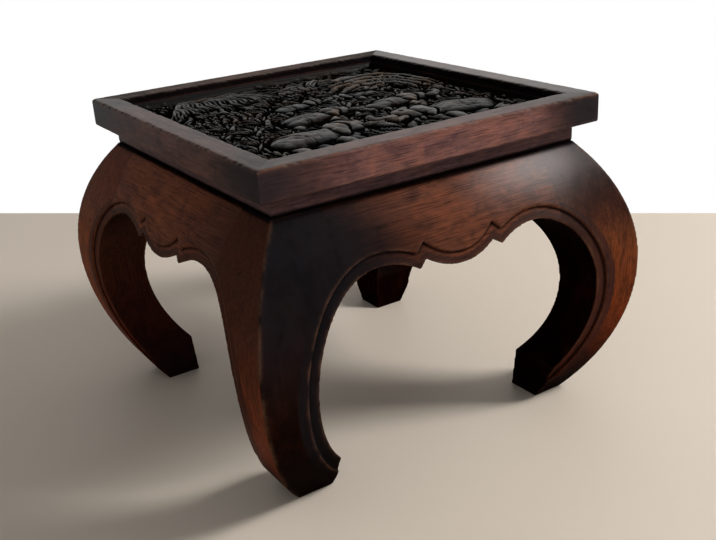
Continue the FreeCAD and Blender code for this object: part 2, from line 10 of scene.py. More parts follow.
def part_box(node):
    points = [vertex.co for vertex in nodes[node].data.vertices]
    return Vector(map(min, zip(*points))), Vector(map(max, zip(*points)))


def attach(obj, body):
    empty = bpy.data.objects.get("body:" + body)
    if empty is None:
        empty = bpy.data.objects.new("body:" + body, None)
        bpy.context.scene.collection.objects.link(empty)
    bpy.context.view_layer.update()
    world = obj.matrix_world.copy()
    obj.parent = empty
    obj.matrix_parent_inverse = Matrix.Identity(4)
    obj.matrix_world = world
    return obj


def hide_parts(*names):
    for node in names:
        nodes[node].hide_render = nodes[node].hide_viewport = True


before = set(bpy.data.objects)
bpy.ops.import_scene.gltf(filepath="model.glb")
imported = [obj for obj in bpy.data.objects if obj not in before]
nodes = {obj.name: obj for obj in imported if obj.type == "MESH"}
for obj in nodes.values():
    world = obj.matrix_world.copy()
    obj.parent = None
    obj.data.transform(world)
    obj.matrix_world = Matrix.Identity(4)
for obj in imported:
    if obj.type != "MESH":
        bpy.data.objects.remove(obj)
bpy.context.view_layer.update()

scene = bpy.context.scene
scene.view_settings.view_transform = "Standard"

SIDES = ("front", "right", "back", "left")
CORNERS = ("front_right", "back_right", "back_left", "front_left")

# Places read from the frame, in metres
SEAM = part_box("apron_front")[1][0]
NECK_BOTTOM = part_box("neck_front")[0][2]
FRAME_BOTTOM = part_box("top_rail_front")[0][2]
TABLE_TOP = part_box("top_rail_front")[1][2]
TOP_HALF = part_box("top_rail_front")[1][0]

# How far a piece is drawn out past a joint while its edges are eased, and the fineness of flats and welds
JOINT_OVERRUN = 0.012
FLATNESS = 1e-5
WELD = 1e-6
ALIGNED = 0.999
# Worn copies: cells in metres, rounds and step of easing, and how near a joint edges stay crisp
CELLS = {"top_rail": 0.0014, "neck": 0.0020, "apron": 0.0013, "leg": 0.0013}
EASING_ROUNDS = 5
EASING_STEP = 0.5
CRISP_REACH = 0.004
# Nicks: the deepest in metres, and waves whose sum sets them, in radians a metre and phase
NICK_DEPTHS = {"top_rail": 0.0016}
NICK_WAVES = ((83.0, 0.4), (151.0, 2.1), (287.0, 4.0), (530.0, 1.3))
NICK_GAIN = 2.5
# Edges to nick: rounds of easing that show them, the least give in cells, and gain
EDGE_ROUNDS = 6
EDGE_FLOOR = 0.10
EDGE_GAIN = 4
# Rounds of easing that show bulges and hollows, and the gains of their wear and of the painted shade in the
# hollows
BULGE_ROUNDS = 12
WEAR_GAIN = 2.0
HOLLOW_SHADE_GAIN = 3.2
# What a worn copy tells its material at every vertex
MEASURES = ("shade", "rub_and_reflection", "polish", "film", "red_and_bounce")

GRAIN = {"front": "x", "back": "x", "left": "y", "right": "y"}
OUTWARD = {"front": (0, -1, 0), "right": (1, 0, 0), "back": (0, 1, 0), "left": (-1, 0, 0),
           "front_right": (0.7, -0.7, 0), "back_right": (0.7, 0.7, 0),
           "back_left": (-0.7, 0.7, 0), "front_left": (-0.7, -0.7, 0)}

# The photograph's camera
IMAGE_WIDTH_PX = 716
FOCAL_PX = 961.2
SENSOR_MM = 36.0
EYE = Vector((-0.68125, -1.109, 0.70975))
YAW = math.radians(32.51)
PITCH = math.radians(22.40)
ROLL = math.radians(3.46)
NEAREST_SEEN = 0.05

# The studio: half width of the floor, the wall's place behind the table, and the light from all round
FLOOR_HALF = 12.0
WALL_DISTANCE = 0.75
WALL_HEADING = math.radians(43.0)
WALL_HALF = 6.0
WALL_HEIGHT = 4.0
SURROUND_LIGHT = 0.32
FLOOR_COLOUR = (0.70, 0.61, 0.51, 1)
FLOOR_ROUGHNESS = 0.55
# The lamp's place and aim, its side in metres, its power in watts and its colour
LAMP_PLACE = Vector((2.6, -1.6, 2.5))
LAMP_AIM = Vector((0, 0, 0.3))
LAMP_SIDE = 1.2
LAMP_POWER = 190.0
LAMP_COLOUR = (1.0, 0.99, 0.98)


# Camera, floor, wall and light


def add_camera():
    """Camera at the photograph's place, turned right, tilted down and rolled."""
    camera = bpy.data.cameras.new("camera")
    camera.sensor_width = SENSOR_MM
    camera.lens = FOCAL_PX / IMAGE_WIDTH_PX * SENSOR_MM
    camera.clip_start = NEAREST_SEEN
    holder = bpy.data.objects.new("camera", camera)
    turn = Matrix.Rotation(-YAW, 3, "Z") @ Matrix.Rotation(math.radians(90) - PITCH, 3, "X")
    holder.matrix_world = Matrix.Translation(EYE) @ (turn @ Matrix.Rotation(-ROLL, 3, "Z")).to_4x4()
    scene.collection.objects.link(holder)
    scene.camera = holder


def add_stage():
    """Wide pale floor under the feet and a white wall behind."""
    corners = [Vector((x, y, 0)) * FLOOR_HALF for x, y in ((-1, -1), (1, -1), (1, 1), (-1, 1))]
    add_sheet("floor", corners, floor_material())
    ahead = Vector((math.sin(WALL_HEADING), math.cos(WALL_HEADING), 0))
    aside = Vector((ahead.y, -ahead.x, 0)) * WALL_HALF
    foot = ahead * WALL_DISTANCE
    top = Vector((0, 0, WALL_HEIGHT))
    add_sheet("wall", [foot - aside, foot + aside, foot + aside + top, foot - aside + top], wall_material())


def add_sheet(name, corners, material):
    """Flat four-cornered sheet of the stage."""
    mesh = bpy.data.meshes.new(name)
    mesh.from_pydata(corners, [], [(0, 1, 2, 3)])
    mesh.materials.append(material)
    sheet = bpy.data.objects.new(name, mesh)
    scene.collection.objects.link(sheet)


def floor_material():
    material = bpy.data.materials.new("pale_floor")
    material.use_nodes = True
    shader = material.node_tree.nodes["Principled BSDF"]
    shader.inputs["Base Color"].default_value = FLOOR_COLOUR
    shader.inputs["Roughness"].default_value = FLOOR_ROUGHNESS
    return material


def wall_material():
    """Wall that is plain white when seen, matt to the light, and open from behind."""
    material = bpy.data.materials.new("white_wall")
    material.use_nodes = True
    tree = material.node_tree
    output = tree.nodes["Material Output"]
    tree.nodes.remove(tree.nodes["Principled BSDF"])
    matt = tree.nodes.new("ShaderNodeBsdfDiffuse")
    white = tree.nodes.new("ShaderNodeEmission")
    path = tree.nodes.new("ShaderNodeLightPath")
    seen = maths(tree, "MAXIMUM", path.outputs["Is Camera Ray"], path.outputs["Is Glossy Ray"])
    seen = maths(tree, "MAXIMUM", seen, path.outputs["Is Transmission Ray"])
    front = mixed_shader(tree, seen, matt, white)
    behind = tree.nodes.new("ShaderNodeNewGeometry").outputs["Backfacing"]
    sheet = mixed_shader(tree, behind, front, tree.nodes.new("ShaderNodeBsdfTransparent"))
    tree.links.new(sheet.outputs["Shader"], output.inputs["Surface"])
    return material


def mixed_shader(tree, share, first, second):
    node = tree.nodes.new("ShaderNodeMixShader")
    tree.links.new(share, node.inputs["Fac"])
    tree.links.new(first.outputs[0], node.inputs[1])
    tree.links.new(second.outputs[0], node.inputs[2])
    return node


def add_world():
    """Soft even light from all round."""
    world = bpy.data.worlds.new("studio")
    scene.world = world
    world.use_nodes = True
    background = world.node_tree.nodes["Background"]
    background.inputs["Color"].default_value = (1, 1, 1, 1)
    background.inputs["Strength"].default_value = SURROUND_LIGHT


def add_lamp():
    """Square soft lamp, high on the camera's right."""
    lamp = bpy.data.lights.new("key", "AREA")
    lamp.shape = "SQUARE"
    lamp.size = LAMP_SIDE
    lamp.energy = LAMP_POWER
    lamp.color = LAMP_COLOUR
    holder = bpy.data.objects.new("key", lamp)
    holder.location = LAMP_PLACE
    holder.rotation_euler = (LAMP_PLACE - LAMP_AIM).to_track_quat("Z", "Y").to_euler()
    scene.collection.objects.link(holder)


def feed(tree, sockets, values):
    """Sets each socket to a value or links it."""
    for socket, value in zip(sockets, values):
        if isinstance(value, (int, float, tuple)):
            socket.default_value = value
        else:
            tree.links.new(value, socket)


def maths(tree, operation, *values):
    """Output of a Math node over sockets or numbers."""
    node = tree.nodes.new("ShaderNodeMath")
    node.operation = operation
    feed(tree, node.inputs, values)
    return node.outputs["Value"]


# Worn copies of the CAD pieces


def remeshed(node, cell, joints):
    """Even quad mesh over a CAD node's surface, drawn out past its joints."""
    source = bpy.data.objects.new("remesh_source", node.data.copy())
    scene.collection.objects.link(source)
    draw_out(source.data, joints)
    remesh = source.modifiers.new("cells", "REMESH")
    remesh.mode = "VOXEL"
    remesh.voxel_size = cell
    graph = bpy.context.evaluated_depsgraph_get()
    mesh = bpy.data.meshes.new_from_object(source.evaluated_get(graph))
    leftover = source.data
    bpy.data.objects.remove(source)
    bpy.data.meshes.remove(leftover)
    return mesh


def draw_out(mesh, joints):
    """Draws the face at each joint out along its piece, so that no edge is rounded at a joint."""
    form = bmesh.new()
    form.from_mesh(mesh)
    bmesh.ops.remove_doubles(form, verts=form.verts, dist=WELD)
    for normal, distance, along in joints:
        faces = [face for face in form.faces if face.normal.dot(normal) > ALIGNED
                 and abs(face.calc_center_median().dot(normal) - distance) < FLATNESS]
        edges = list({edge for face in faces for edge in face.edges})
        grown = bmesh.ops.extrude_face_region(form, geom=faces + edges)["geom"]
        moved = [item for item in grown if isinstance(item, bmesh.types.BMVert)]
        bmesh.ops.translate(form, verts=moved, vec=along * JOINT_OVERRUN)
    form.to_mesh(mesh)
    form.free()


def trim(mesh, joints):
    """Cuts a drawn-out mesh back to its joints and closes the cuts."""
    form = bmesh.new()
    form.from_mesh(mesh)
    for normal, distance, _ in joints:
        everything = form.verts[:] + form.edges[:] + form.faces[:]
        cut = bmesh.ops.bisect_plane(form, geom=everything, dist=WELD, plane_co=normal * distance,
                                     plane_no=normal, clear_outer=True)["geom_cut"]
        rim = [item for item in cut if isinstance(item, bmesh.types.BMEdge)]
        for edge in rim:
            edge.smooth = False
        closed = bmesh.ops.triangle_fill(form, use_beauty=True, edges=rim, normal=normal)["geom"]
        for item in closed:
            if isinstance(item, bmesh.types.BMFace):
                item.smooth = False
    form.to_mesh(mesh)
    form.free()


def mesh_arrays(mesh):
    """Vertex places and the two ends of every edge."""
    places = np.empty(len(mesh.vertices) * 3)
    mesh.vertices.foreach_get("co", places)
    ends = np.empty(len(mesh.edges) * 2, dtype=np.int32)
    mesh.edges.foreach_get("vertices", ends)
    return places.reshape(-1, 3), ends.reshape(-1, 2)


def neighbour_mean(values, ends):
    """Mean of each vertex's neighbours."""
    count = len(values)
    both = np.concatenate([ends, ends[:, ::-1]])
    degree = np.bincount(both[:, 0], minlength=count)
    total = np.stack([np.bincount(both[:, 0], weights=values[both[:, 1], axis], minlength=count)
                      for axis in range(values.shape[1])], axis=1)
    return total / np.maximum(degree, 1)[:, None]


def softened(places, ends, rounds, weight):
    """Places eased towards their neighbours' mean; a weight of 0 keeps a vertex where it is."""
    for _ in range(rounds):
        places = places + weight[:, None] * EASING_STEP * (neighbour_mean(places, ends) - places)
    return places


def vertex_normals(mesh):
    normals = np.empty(len(mesh.vertices) * 3, dtype=np.float32)
    mesh.vertex_normals.foreach_get("vector", normals)
    return normals.reshape(-1, 3).astype(float)


def store(mesh, name, values):
    """Keeps one number per vertex for the material."""
    layer = mesh.attributes.new(name, "FLOAT", "POINT")
    layer.data.foreach_set("value", np.asarray(values, dtype=np.float32))


def chipped(places, ends, cell, weight, depth):
    """Places knocked back along the edges in uneven nicks, at most about a depth."""
    inward = softened(places, ends, EDGE_ROUNDS, np.ones(len(places))) - places
    give = np.linalg.norm(inward, axis=1)
    sharpness = np.clip(EDGE_GAIN * (give / cell - EDGE_FLOOR), 0, 1)
    along = places[:, 0] + places[:, 1]
    nicks = sum(np.sin(along * pitch + phase) for pitch, phase in NICK_WAVES) / len(NICK_WAVES)
    knock = depth * np.clip(NICK_GAIN * nicks, 0, 1) * sharpness * weight
    return places + inward / np.maximum(give, WELD)[:, None] * knock[:, None]


def worn_copy(name, kind, crisp, shade, joints):
    """Copy of a CAD node with worn edges, carrying the measures for its material."""
    cell = CELLS[kind]
    mesh = remeshed(nodes[name], cell, joints)
    places, ends = mesh_arrays(mesh)
    places = softened(places, ends, EASING_ROUNDS, crisp(places))
    places = chipped(places, ends, cell, crisp(places), NICK_DEPTHS.get(kind, 0.0))
    mesh.vertices.foreach_set("co", places.ravel())
    mesh.update()
    normals = vertex_normals(mesh)
    smooth = softened(places, ends, BULGE_ROUNDS, np.ones(len(places)))
    bulge = np.einsum("ij,ij->i", places - smooth, normals) / cell
    measures = shade(places, normals, ends)
    store(mesh, "edge", np.clip(bulge * WEAR_GAIN, 0, 1) * crisp(places) * measures.get("wear", 0))
    # Painted shade: the material darkens the hollows of the surface by this measure
    store(mesh, "hollow", np.clip(-bulge * HOLLOW_SHADE_GAIN, 0, 1))
    for measure in MEASURES:
        store(mesh, measure, measures.get(measure, np.zeros(len(places))))
    mesh.polygons.foreach_set("use_smooth", np.ones(len(mesh.polygons), dtype=bool))
    trim(mesh, joints)
    piece = bpy.data.objects.new(f"{name}_worn", mesh)
    scene.collection.objects.link(piece)
    mesh.materials.clear()
    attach(piece, "root")
    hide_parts(name)
    return piece


def spread(mask, ends, rounds):
    """1 near the marked vertices, falling to 0 within so many steps of the mesh."""
    reach = mask.astype(float)
    for _ in range(rounds):
        grown = reach.copy()
        np.maximum.at(grown, ends[:, 0], reach[ends[:, 1]])
        np.maximum.at(grown, ends[:, 1], reach[ends[:, 0]])
        reach = np.where(grown > reach, np.maximum(reach, grown - 1 / (2 * rounds)), reach)
    return eased(reach, 0.5, 0.62)


def base_weight(places):
    """Legs and aprons stay crisp under the neck."""
    return np.clip((NECK_BOTTOM - places[:, 2]) / CRISP_REACH, 0, 1)


def rail_weight(places):
    """Frame and neck rails stay crisp where they rest on each other."""
    flat = np.minimum(abs(places[:, 2] - FRAME_BOTTOM), abs(places[:, 2] - NECK_BOTTOM))
    return np.clip(flat / CRISP_REACH, 0, 1)


def both_ways(side):
    """The two ways along a side."""
    out = Vector(OUTWARD[side])
    along = Vector((-out.y, out.x, 0))
    return along, -along


def mitres(side):
    """The two mitres of a rail: normal, distance from the middle, and the way along the rail."""
    out = Vector(OUTWARD[side])
    return [((way - out).normalized(), 0.0, way) for way in both_ways(side)]


def apron_seams(side):
    """The two seams of an apron with its legs."""
    return [(way, SEAM, way) for way in both_ways(side)]


def leg_seams(corner):
    """The two seams of a leg with its aprons."""
    out = OUTWARD[corner]
    ways = (Vector((-math.copysign(1, out[0]), 0, 0)), Vector((0, -math.copysign(1, out[1]), 0)))
    return [(way, -SEAM, way) for way in ways]


# Materials

# Patterns: stretch along and across the grain, random order, scale, detail, roughness, distortion
PATTERNS = {
    "streaks": (1.6, 24.0, 0, 9.0, 7.0, 0.66, 0.9),
    "pores": (8.0, 260.0, 0, 3.0, 3.0, 0.6, 0.2),
    "patches": (0.7, 1.3, 9, 7.0, 5.0, 0.6, 0.8),
    "dabs": (0.6, 1.0, 3, 55.0, 5.0, 0.65, 0.6),
    "wear": (1.0, 1.0, 5, 38.0, 4.0, 0.6, 0.3),
    "joinery_wood": (4.0, 60.0, 40, 6.0, 5.0, 0.6, 0.6),
    "carving_streaks": (3.0, 30.0, 3, 6.0, 5.0, 0.6, 0.5),
    "carving_patches": (1.0, 1.0, 4, 16.0, 4.0, 0.6, 0.3),
    "chisel": (1.0, 1.0, 5, 420.0, 2.0, 0.5, 0.4),
    "screw_steel": (1.0, 1.0, 2, 300.0, 4.0, 0.6, 0.2),
}
# How far a pattern moves along each axis for one step in the random order
SEED_STEPS = (1.7, 2.3, 3.1)
# Roughness of each surface: how much its pattern adds, and the least
ROUGHNESS = {"wood": (0.24, 0.26), "carving": (0.25, 0.25), "joinery_wood": (0.3, 0.45),
             "screw_steel": (0.3, 0.25)}
# Strength of each bump, and its depth in metres
BUMPS = {"pores": (0.12, 0.0006), "streaks": (0.10, 0.0012), "chisel": (0.25, 0.0008),
         "carving": (0.2, 0.001), "joinery_wood": (0.1, 0.0005), "screw_steel": (0.1, 0.0003)}
# Sockets of the Mix node for colours: its share and two colours, and its result
MIX_INPUTS = (0, 6, 7)
MIX_OUTPUT = 2

# Shares of one colour along a pattern, each with its position
WHITE = (1, 1, 1)
STREAK_TONES = ((0.30, 0.50), (0.50, 0.74), (0.72, 1.0))
CARVING_STREAKS = ((0.30, 0.6), (0.70, 1.2))
CARVING_GLOSS = ((0.50, 0.0), (0.68, 0.05), (0.95, 0.18))
GREY_STREAKS = ((0.25, 0.30), (0.65, 1.0))
WEAR_PATCHES = ((0.38, 0.0), (0.62, 1.0))

# Colours of the wood where its stain is thin
STAINS = {"top_rail": (0.25, 0.117, 0.103), "neck": (0.19, 0.100, 0.105),
          "apron": (0.18, 0.062, 0.034), "leg": (0.17, 0.050, 0.020)}
# Stain and painted shade from thick blue-black to the wood's own red, and the shares that set their depth
STAIN_AND_SHADE_DEPTHS = [(0.28, (0.03, 0.033, 0.04)), (0.45, (0.20, 0.20, 0.21)), (0.62, (0.52, 0.51, 0.50)),
                (0.80, (0.95, 0.95, 0.95)), (0.95, (1.3, 1.25, 1.2))]
SHADE_SHARE = 0.56
PATCH_SHARE = 0.5
# Blotches, pores, redder wood low on the legs that also paints warm light bounced from the floor, and the
# film with its blotches
DAB_TINTS = [(0.34, (0.62, 0.66, 0.74)), (0.50, (1.0, 1.0, 1.0)), (0.66, (1.38, 1.24, 1.06))]
PORE_TINTS = [(0.36, (0.30, 0.28, 0.27)), (0.50, (1, 1, 1))]
PORE_SHARE = 0.8
LOW_RED_AND_BOUNCE = (1.05, 0.58, 0.22, 1)
FILMS = {"top_rail": (0.023, 0.019, 0.023, 1), "neck": (0.023, 0.019, 0.023, 1),
         "apron": (0.0095, 0.0090, 0.0110, 1), "leg": (0.0095, 0.0090, 0.0110, 1)}
FILM_DABS = (1.6, 0.2)
# Rubbed grey with painted reflection on the frame's top, bare wood on worn edges, painted shade in the
# hollows, and patches in the polish
RUBBED_REFLECTION_GREY = (0.105, 0.097, 0.092, 1)
GREY_TINTS = [(0.34, (0.70, 0.72, 0.70)), (0.50, (1.0, 1.0, 0.97)), (0.66, (1.28, 1.22, 1.14))]
WORN_WOOD = (0.13, 0.062, 0.038, 1)
WEAR_SHARE = 0.8
HOLLOW_SHADE_TONE = (0.003, 0.0025, 0.0025, 1)
HOLLOW_SHADE_SHARE = 0.92
POLISH_PATCHES = 2.0
# The carving from painted shade in the grooves to painted highlight on the ridges, brown patches on it, and
# the hidden wood and screws
CARVING_SHADE_TO_HIGHLIGHT = [(0.30, (0.0012, 0.0012, 0.0012)), (0.52, (0.0042, 0.0039, 0.0036)),
                 (0.68, (0.0090, 0.0081, 0.0071)), (0.84, (0.021, 0.0186, 0.0158)),
                 (1.0, (0.052, 0.046, 0.039))]
BROWN_TINTS = [(0.38, (0.80, 0.88, 0.97)), (0.50, (1.0, 0.94, 0.86)), (0.62, (1.50, 0.96, 0.58))]
JOINERY_TONES = [(0.3, (0.15, 0.085, 0.045)), (0.7, (0.30, 0.17, 0.09))]
STEEL_TONES = [(0.3, (0.30, 0.29, 0.27)), (0.7, (0.52, 0.51, 0.49))]


def wood_material(name, grain, seed, light, film_tone):
    """Stained wood with painted shade: streaks, pores, blotches, film, rubbed grey with painted reflection,
    worn edges, painted shade in hollows.
    """
    material, tree, shader, place = new_material(name)
    names = ("streaks", "pores", "patches", "dabs", "wear")
    streaks, pores, patches, dabs, wear = (pattern(tree, place, name, grain, seed) for name in names)

    colour = ramp(tree, streaks, toned(light, STREAK_TONES))
    # Painted shade: the shade measure darkens the stain on inner faces, in recesses, on the left and back
    # rails, at the toes and in the gap under the neck
    depth = maths(tree, "ADD", times(tree, attribute(tree, "shade"), SHADE_SHARE),
                  times(tree, patches, PATCH_SHARE))
    colour = tinted(tree, colour, depth, STAIN_AND_SHADE_DEPTHS)
    colour = tinted(tree, colour, dabs, DAB_TINTS)
    colour = mixed(tree, "MULTIPLY", PORE_SHARE, colour, ramp(tree, pores, PORE_TINTS))
    # Redder low down: the wood's own red, which also paints warm light bounced from the floor
    redder = mixed(tree, "MULTIPLY", 1.0, colour, LOW_RED_AND_BOUNCE)
    film = times(tree, attribute(tree, "film"), maths(tree, "MULTIPLY_ADD", dabs, *FILM_DABS))
    # The rubbed grey on the tops also paints the reflection of the bright wall behind
    rub_and_reflection_share = times(tree, attribute(tree, "rub_and_reflection"), ramp(tree, streaks, toned(WHITE, GREY_STREAKS)))
    grey = mixed(tree, "MULTIPLY", 1.0, ramp(tree, dabs, GREY_TINTS), RUBBED_REFLECTION_GREY)
    worn = times(tree, attribute(tree, "edge"), ramp(tree, wear, toned(WHITE, WEAR_PATCHES)))
    worn = times(tree, worn, WEAR_SHARE)
    hollow = times(tree, attribute(tree, "hollow"), HOLLOW_SHADE_SHARE)
    for share, tone in ((attribute(tree, "red_and_bounce"), redder), (film, film_tone), (rub_and_reflection_share, grey),
                        (worn, WORN_WOOD), (hollow, HOLLOW_SHADE_TONE)):
        colour = mixed(tree, "MIX", share, colour, tone)
    tree.links.new(colour, shader.inputs["Base Color"])

    polish = times(tree, attribute(tree, "polish"), times(tree, patches, POLISH_PATCHES))
    tree.links.new(polish, shader.inputs["Specular IOR Level"])
    roughen(tree, shader, patches, "wood")
    bump(tree, shader, [(pores, *BUMPS["pores"]), (streaks, *BUMPS["streaks"])])
    return material


def plain_material(name, stops, metal):
    """Material of the hidden joinery: colours along one pattern."""
    material, tree, shader, place = new_material(name)
    shader.inputs["Metallic"].default_value = metal
    value = pattern(tree, place, name)
    tree.links.new(ramp(tree, value, stops), shader.inputs["Base Color"])
    roughen(tree, shader, value, name)
    bump(tree, shader, [(value, *BUMPS[name])])
    return material


def carved_material():
    """Carving: black painted shade in the grooves, satin ridges with painted grey highlight, brown wood in
    patches, fine chisel marks.
    """
    material, tree, shader, place = new_material("carved_wood")
    streaks = pattern(tree, place, "carving_streaks")
    patches = pattern(tree, place, "carving_patches")
    chisel = pattern(tree, place, "chisel")
    # The relief measure is painted light and shade: dark in the grooves and on slopes turned to the front,
    # light on the ridges
    relief = attribute(tree, "relief")
    colour = tinted(tree, ramp(tree, relief, CARVING_SHADE_TO_HIGHLIGHT), patches, BROWN_TINTS)
    colour = tinted(tree, colour, streaks, toned(WHITE, CARVING_STREAKS))
    tree.links.new(colour, shader.inputs["Base Color"])
    gloss = ramp(tree, relief, toned(WHITE, CARVING_GLOSS))
    tree.links.new(gloss, shader.inputs["Specular IOR Level"])
    roughen(tree, shader, patches, "carving")
    bump(tree, shader, [(chisel, *BUMPS["chisel"]), (streaks, *BUMPS["carving"])])
    return material


def new_material(name):
    """Material with its node tree, its shader and the object's own coordinates."""
    material = bpy.data.materials.new(name)
    material.use_nodes = True
    tree = material.node_tree
    place = tree.nodes.new("ShaderNodeTexCoord").outputs["Object"]
    return material, tree, tree.nodes["Principled BSDF"], place


def pattern(tree, place, name, grain="x", seed=0):
    """One of the patterns, drawn out along the grain."""
    along, across, shift, scale, detail, roughness, distortion = PATTERNS[name]
    mapping = tree.nodes.new("ShaderNodeMapping")
    mapping.inputs["Scale"].default_value = tuple(along if axis == grain else across for axis in "xyz")
    mapping.inputs["Location"].default_value = tuple((seed + shift) * step for step in SEED_STEPS)
    tree.links.new(place, mapping.inputs["Vector"])
    noise = tree.nodes.new("ShaderNodeTexNoise")
    noise.inputs["Scale"].default_value = scale
    noise.inputs["Detail"].default_value = detail
    noise.inputs["Roughness"].default_value = roughness
    noise.inputs["Distortion"].default_value = distortion
    tree.links.new(mapping.outputs["Vector"], noise.inputs["Vector"])
    return noise.outputs["Fac"]


def toned(colour, tones):
    """Stops of a ramp in shares of one colour."""
    return [(position, tuple(share * channel for channel in colour)) for position, share in tones]


def tinted(tree, colour, value, stops):
    """Colour multiplied by a ramp."""
    return mixed(tree, "MULTIPLY", 1.0, colour, ramp(tree, value, stops))


def times(tree, first, second):
    return maths(tree, "MULTIPLY", first, second)


def roughen(tree, shader, value, surface):
    """Roughness that varies with a pattern."""
    tree.links.new(maths(tree, "MULTIPLY_ADD", value, *ROUGHNESS[surface]), shader.inputs["Roughness"])


def ramp(tree, value, stops):
    """Colour ramp from a list of (position, colour)."""
    node = tree.nodes.new("ShaderNodeValToRGB")
    elements = node.color_ramp.elements
    while len(elements) < len(stops):
        elements.new(0.5)
    for element, (position, colour) in zip(elements, stops):
        element.position = position
        element.color = (*colour[:3], 1)
    tree.links.new(value, node.inputs["Fac"])
    return node.outputs["Color"]


def mixed(tree, blend, amount, first, second):
    """Colour mix of two sockets or colours by a number or a socket."""
    node = tree.nodes.new("ShaderNodeMix")
    node.data_type = "RGBA"
    node.blend_type = blend
    node.clamp_result = False
    feed(tree, [node.inputs[number] for number in MIX_INPUTS], (amount, first, second))
    return node.outputs[MIX_OUTPUT]


def attribute(tree, name):
    node = tree.nodes.new("ShaderNodeAttribute")
    node.attribute_name = name
    return node.outputs["Fac"]


def bump(tree, shader, layers):
    """Chain of bumps, each a height, a strength and a depth in metres."""
    normal = None
    for height, strength, depth in layers:
        node = tree.nodes.new("ShaderNodeBump")
        node.inputs["Strength"].default_value = strength
        node.inputs["Distance"].default_value = depth
        tree.links.new(height, node.inputs["Height"])
        if normal is not None:
            tree.links.new(normal, node.inputs["Normal"])
        normal = node.outputs["Normal"]
    tree.links.new(normal, shader.inputs["Normal"])


# Carved panel: a relief drawn in millimetres on an even grid, from the back of the scene to its front

# Cells of the mesh along one side, cells of the drawing to one of the mesh, and the random order
RELIEF_CELLS = 310
RELIEF_FINENESS = 2
RELIEF_SEED = 7

# Heights in millimetres: the ground below the rim, and the forms above the ground
PANEL_HALF_MM = 1000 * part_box("carved_panel")[1][0]
RELIEF_DEPTH_MM = 11.0
LIFTS_MM = {"far": 7.4, "middle": 8.8, "near": 10.2}
BUSH_LIFTS_MM = {"sky": 5.0, "back": 6.2, "far": 6.8, "middle": 7.4, "near": 8.6}
GRASS_LIFTS_MM = {"far": 5.0, "middle": 5.8, "near": 7.4}
# The plain rim: its width and how far in its tone reaches, and the painted shade on it and on its far side
RELIEF_MARGIN_MM = 3.0
RIM_TONE_MM = 3
RIM_PAINTED_LIGHT = 0.50
BACK_RIM_PAINTED_LIGHT = 0.66
# Painted light and shade on the carving: least, rise over a mean of cells and height that add 1, and
# painted shade on slopes to the front
PAINTED_LIGHT_LEAST = 0.20
PAINTED_LIGHT_RISES = ((2, 12.0), (6, 13.0), (14, 18.0))
PAINTED_LIGHT_HEIGHT_MM = 19.0
PAINTED_FRONT_SHADE = 0.12
FRONT_WAY = (0.84, 0.54)
# How far the drawing is bent, and the half width in cells of the mean that smooths the bends
BEND_MM = 1.6
BEND_CELLS = 16
# Uneven surfaces: waves and the half width of their mean, and the height at which they are full
UNEVEN_WAVES = ((0.45, 9), (0.25, 4))
UNEVEN_FULL_MM = 4
# Pitch of rings, leaflets and planks
FINE_PITCH_MM = 6.0

# Places of the forms as shares of the panel's half width
# Elephants: their feet across and up, their height, the way they face, trunk raised or not
ELEPHANTS = {
    "far": ((0.34, 0.01, 0.25, -1, False), (-0.17, 0.0, 0.26, 1, True)),
    "middle": ((0.36, -0.42, 0.35, 1, True), (-0.27, -0.43, 0.38, 1, False)),
    "near": ((0.53, -0.92, 0.48, -1, True), (-0.51, -0.91, 0.47, 1, False)),
}
# Huts: the foot of the wall across and up, and the width
HUTS = ((0.07, 0.43, 0.32), (-0.51, 0.22, 0.77))
# A hut in shares of its width: wall and doorway (left, right, bottom, top), and eaves, ridge and overhang
HUT_WALL = (-0.40, 0.40, 0.15, 0.42)
HUT_DOOR = (-0.07, 0.09, 0.17, 0.38)
HUT_ROOF = (0.34, 0.80, 0.58)
# Palms: the stem's foot, bend and top, and the reach of the fronds
PALMS = {
    "far": ((0.18, 0.29), (0.15, 0.49), (0.24, 0.67), 0.25),
    "middle": ((0.78, -0.42), (0.92, 0.0), (0.62, 0.34), 0.45),
}
FROND_TURNS = (212, -32, 186, -8, 158, 22, 132, 50)
# Long fronds of the middle palm, side by side down the right edge: start, bend and tip
SWEEPS = (
    ((0.44, 0.66), (0.99, 0.86), (0.95, -0.02)),
    ((0.47, 0.56), (0.93, 0.70), (0.90, -0.10)),
    ((0.50, 0.46), (0.87, 0.56), (0.84, -0.16)),
    ((0.53, 0.36), (0.80, 0.43), (0.77, -0.20)),
)
SWEEP_RADII_MM = (6.4, 3.4)
# Bushes: the middle across and up, the half width and half height
BUSHES = {
    "sky": ((0.15, 0.86, 0.15, 0.11), (0.47, 0.89, 0.18, 0.09), (0.81, 0.88, 0.18, 0.11),
            (-0.86, 0.87, 0.15, 0.09)),
    "back": ((-0.11, 0.27, 0.20, 0.12), (0.36, 0.30, 0.21, 0.13), (0.73, 0.51, 0.20, 0.15),
             (-0.49, 0.20, 0.20, 0.07), (0.91, 0.18, 0.07, 0.17)),
    "far": ((-0.74, 0.13, 0.22, 0.20), (-0.58, -0.21, 0.17, 0.09)),
    "middle": ((0.06, -0.47, 0.13, 0.07), (0.89, -0.45, 0.10, 0.17), (-0.87, -0.45, 0.12, 0.15)),
    "near": ((0.01, -0.87, 0.14, 0.09), (-0.92, -0.84, 0.06, 0.12)),
}
# Leaves and the pitch of grass, in mm; bushes left of an edge are an even lattice of smaller leaves
LEAF_MM = {"sky": 32.0, "back": 32.0, "far": 34.0, "middle": 31.0, "near": 30.0}
GRASS_PITCH_MM = 36.0
LATTICE_EDGE = -0.7
LATTICE_LEAF = 0.5
LATTICE_UNEVENNESS = 0.15

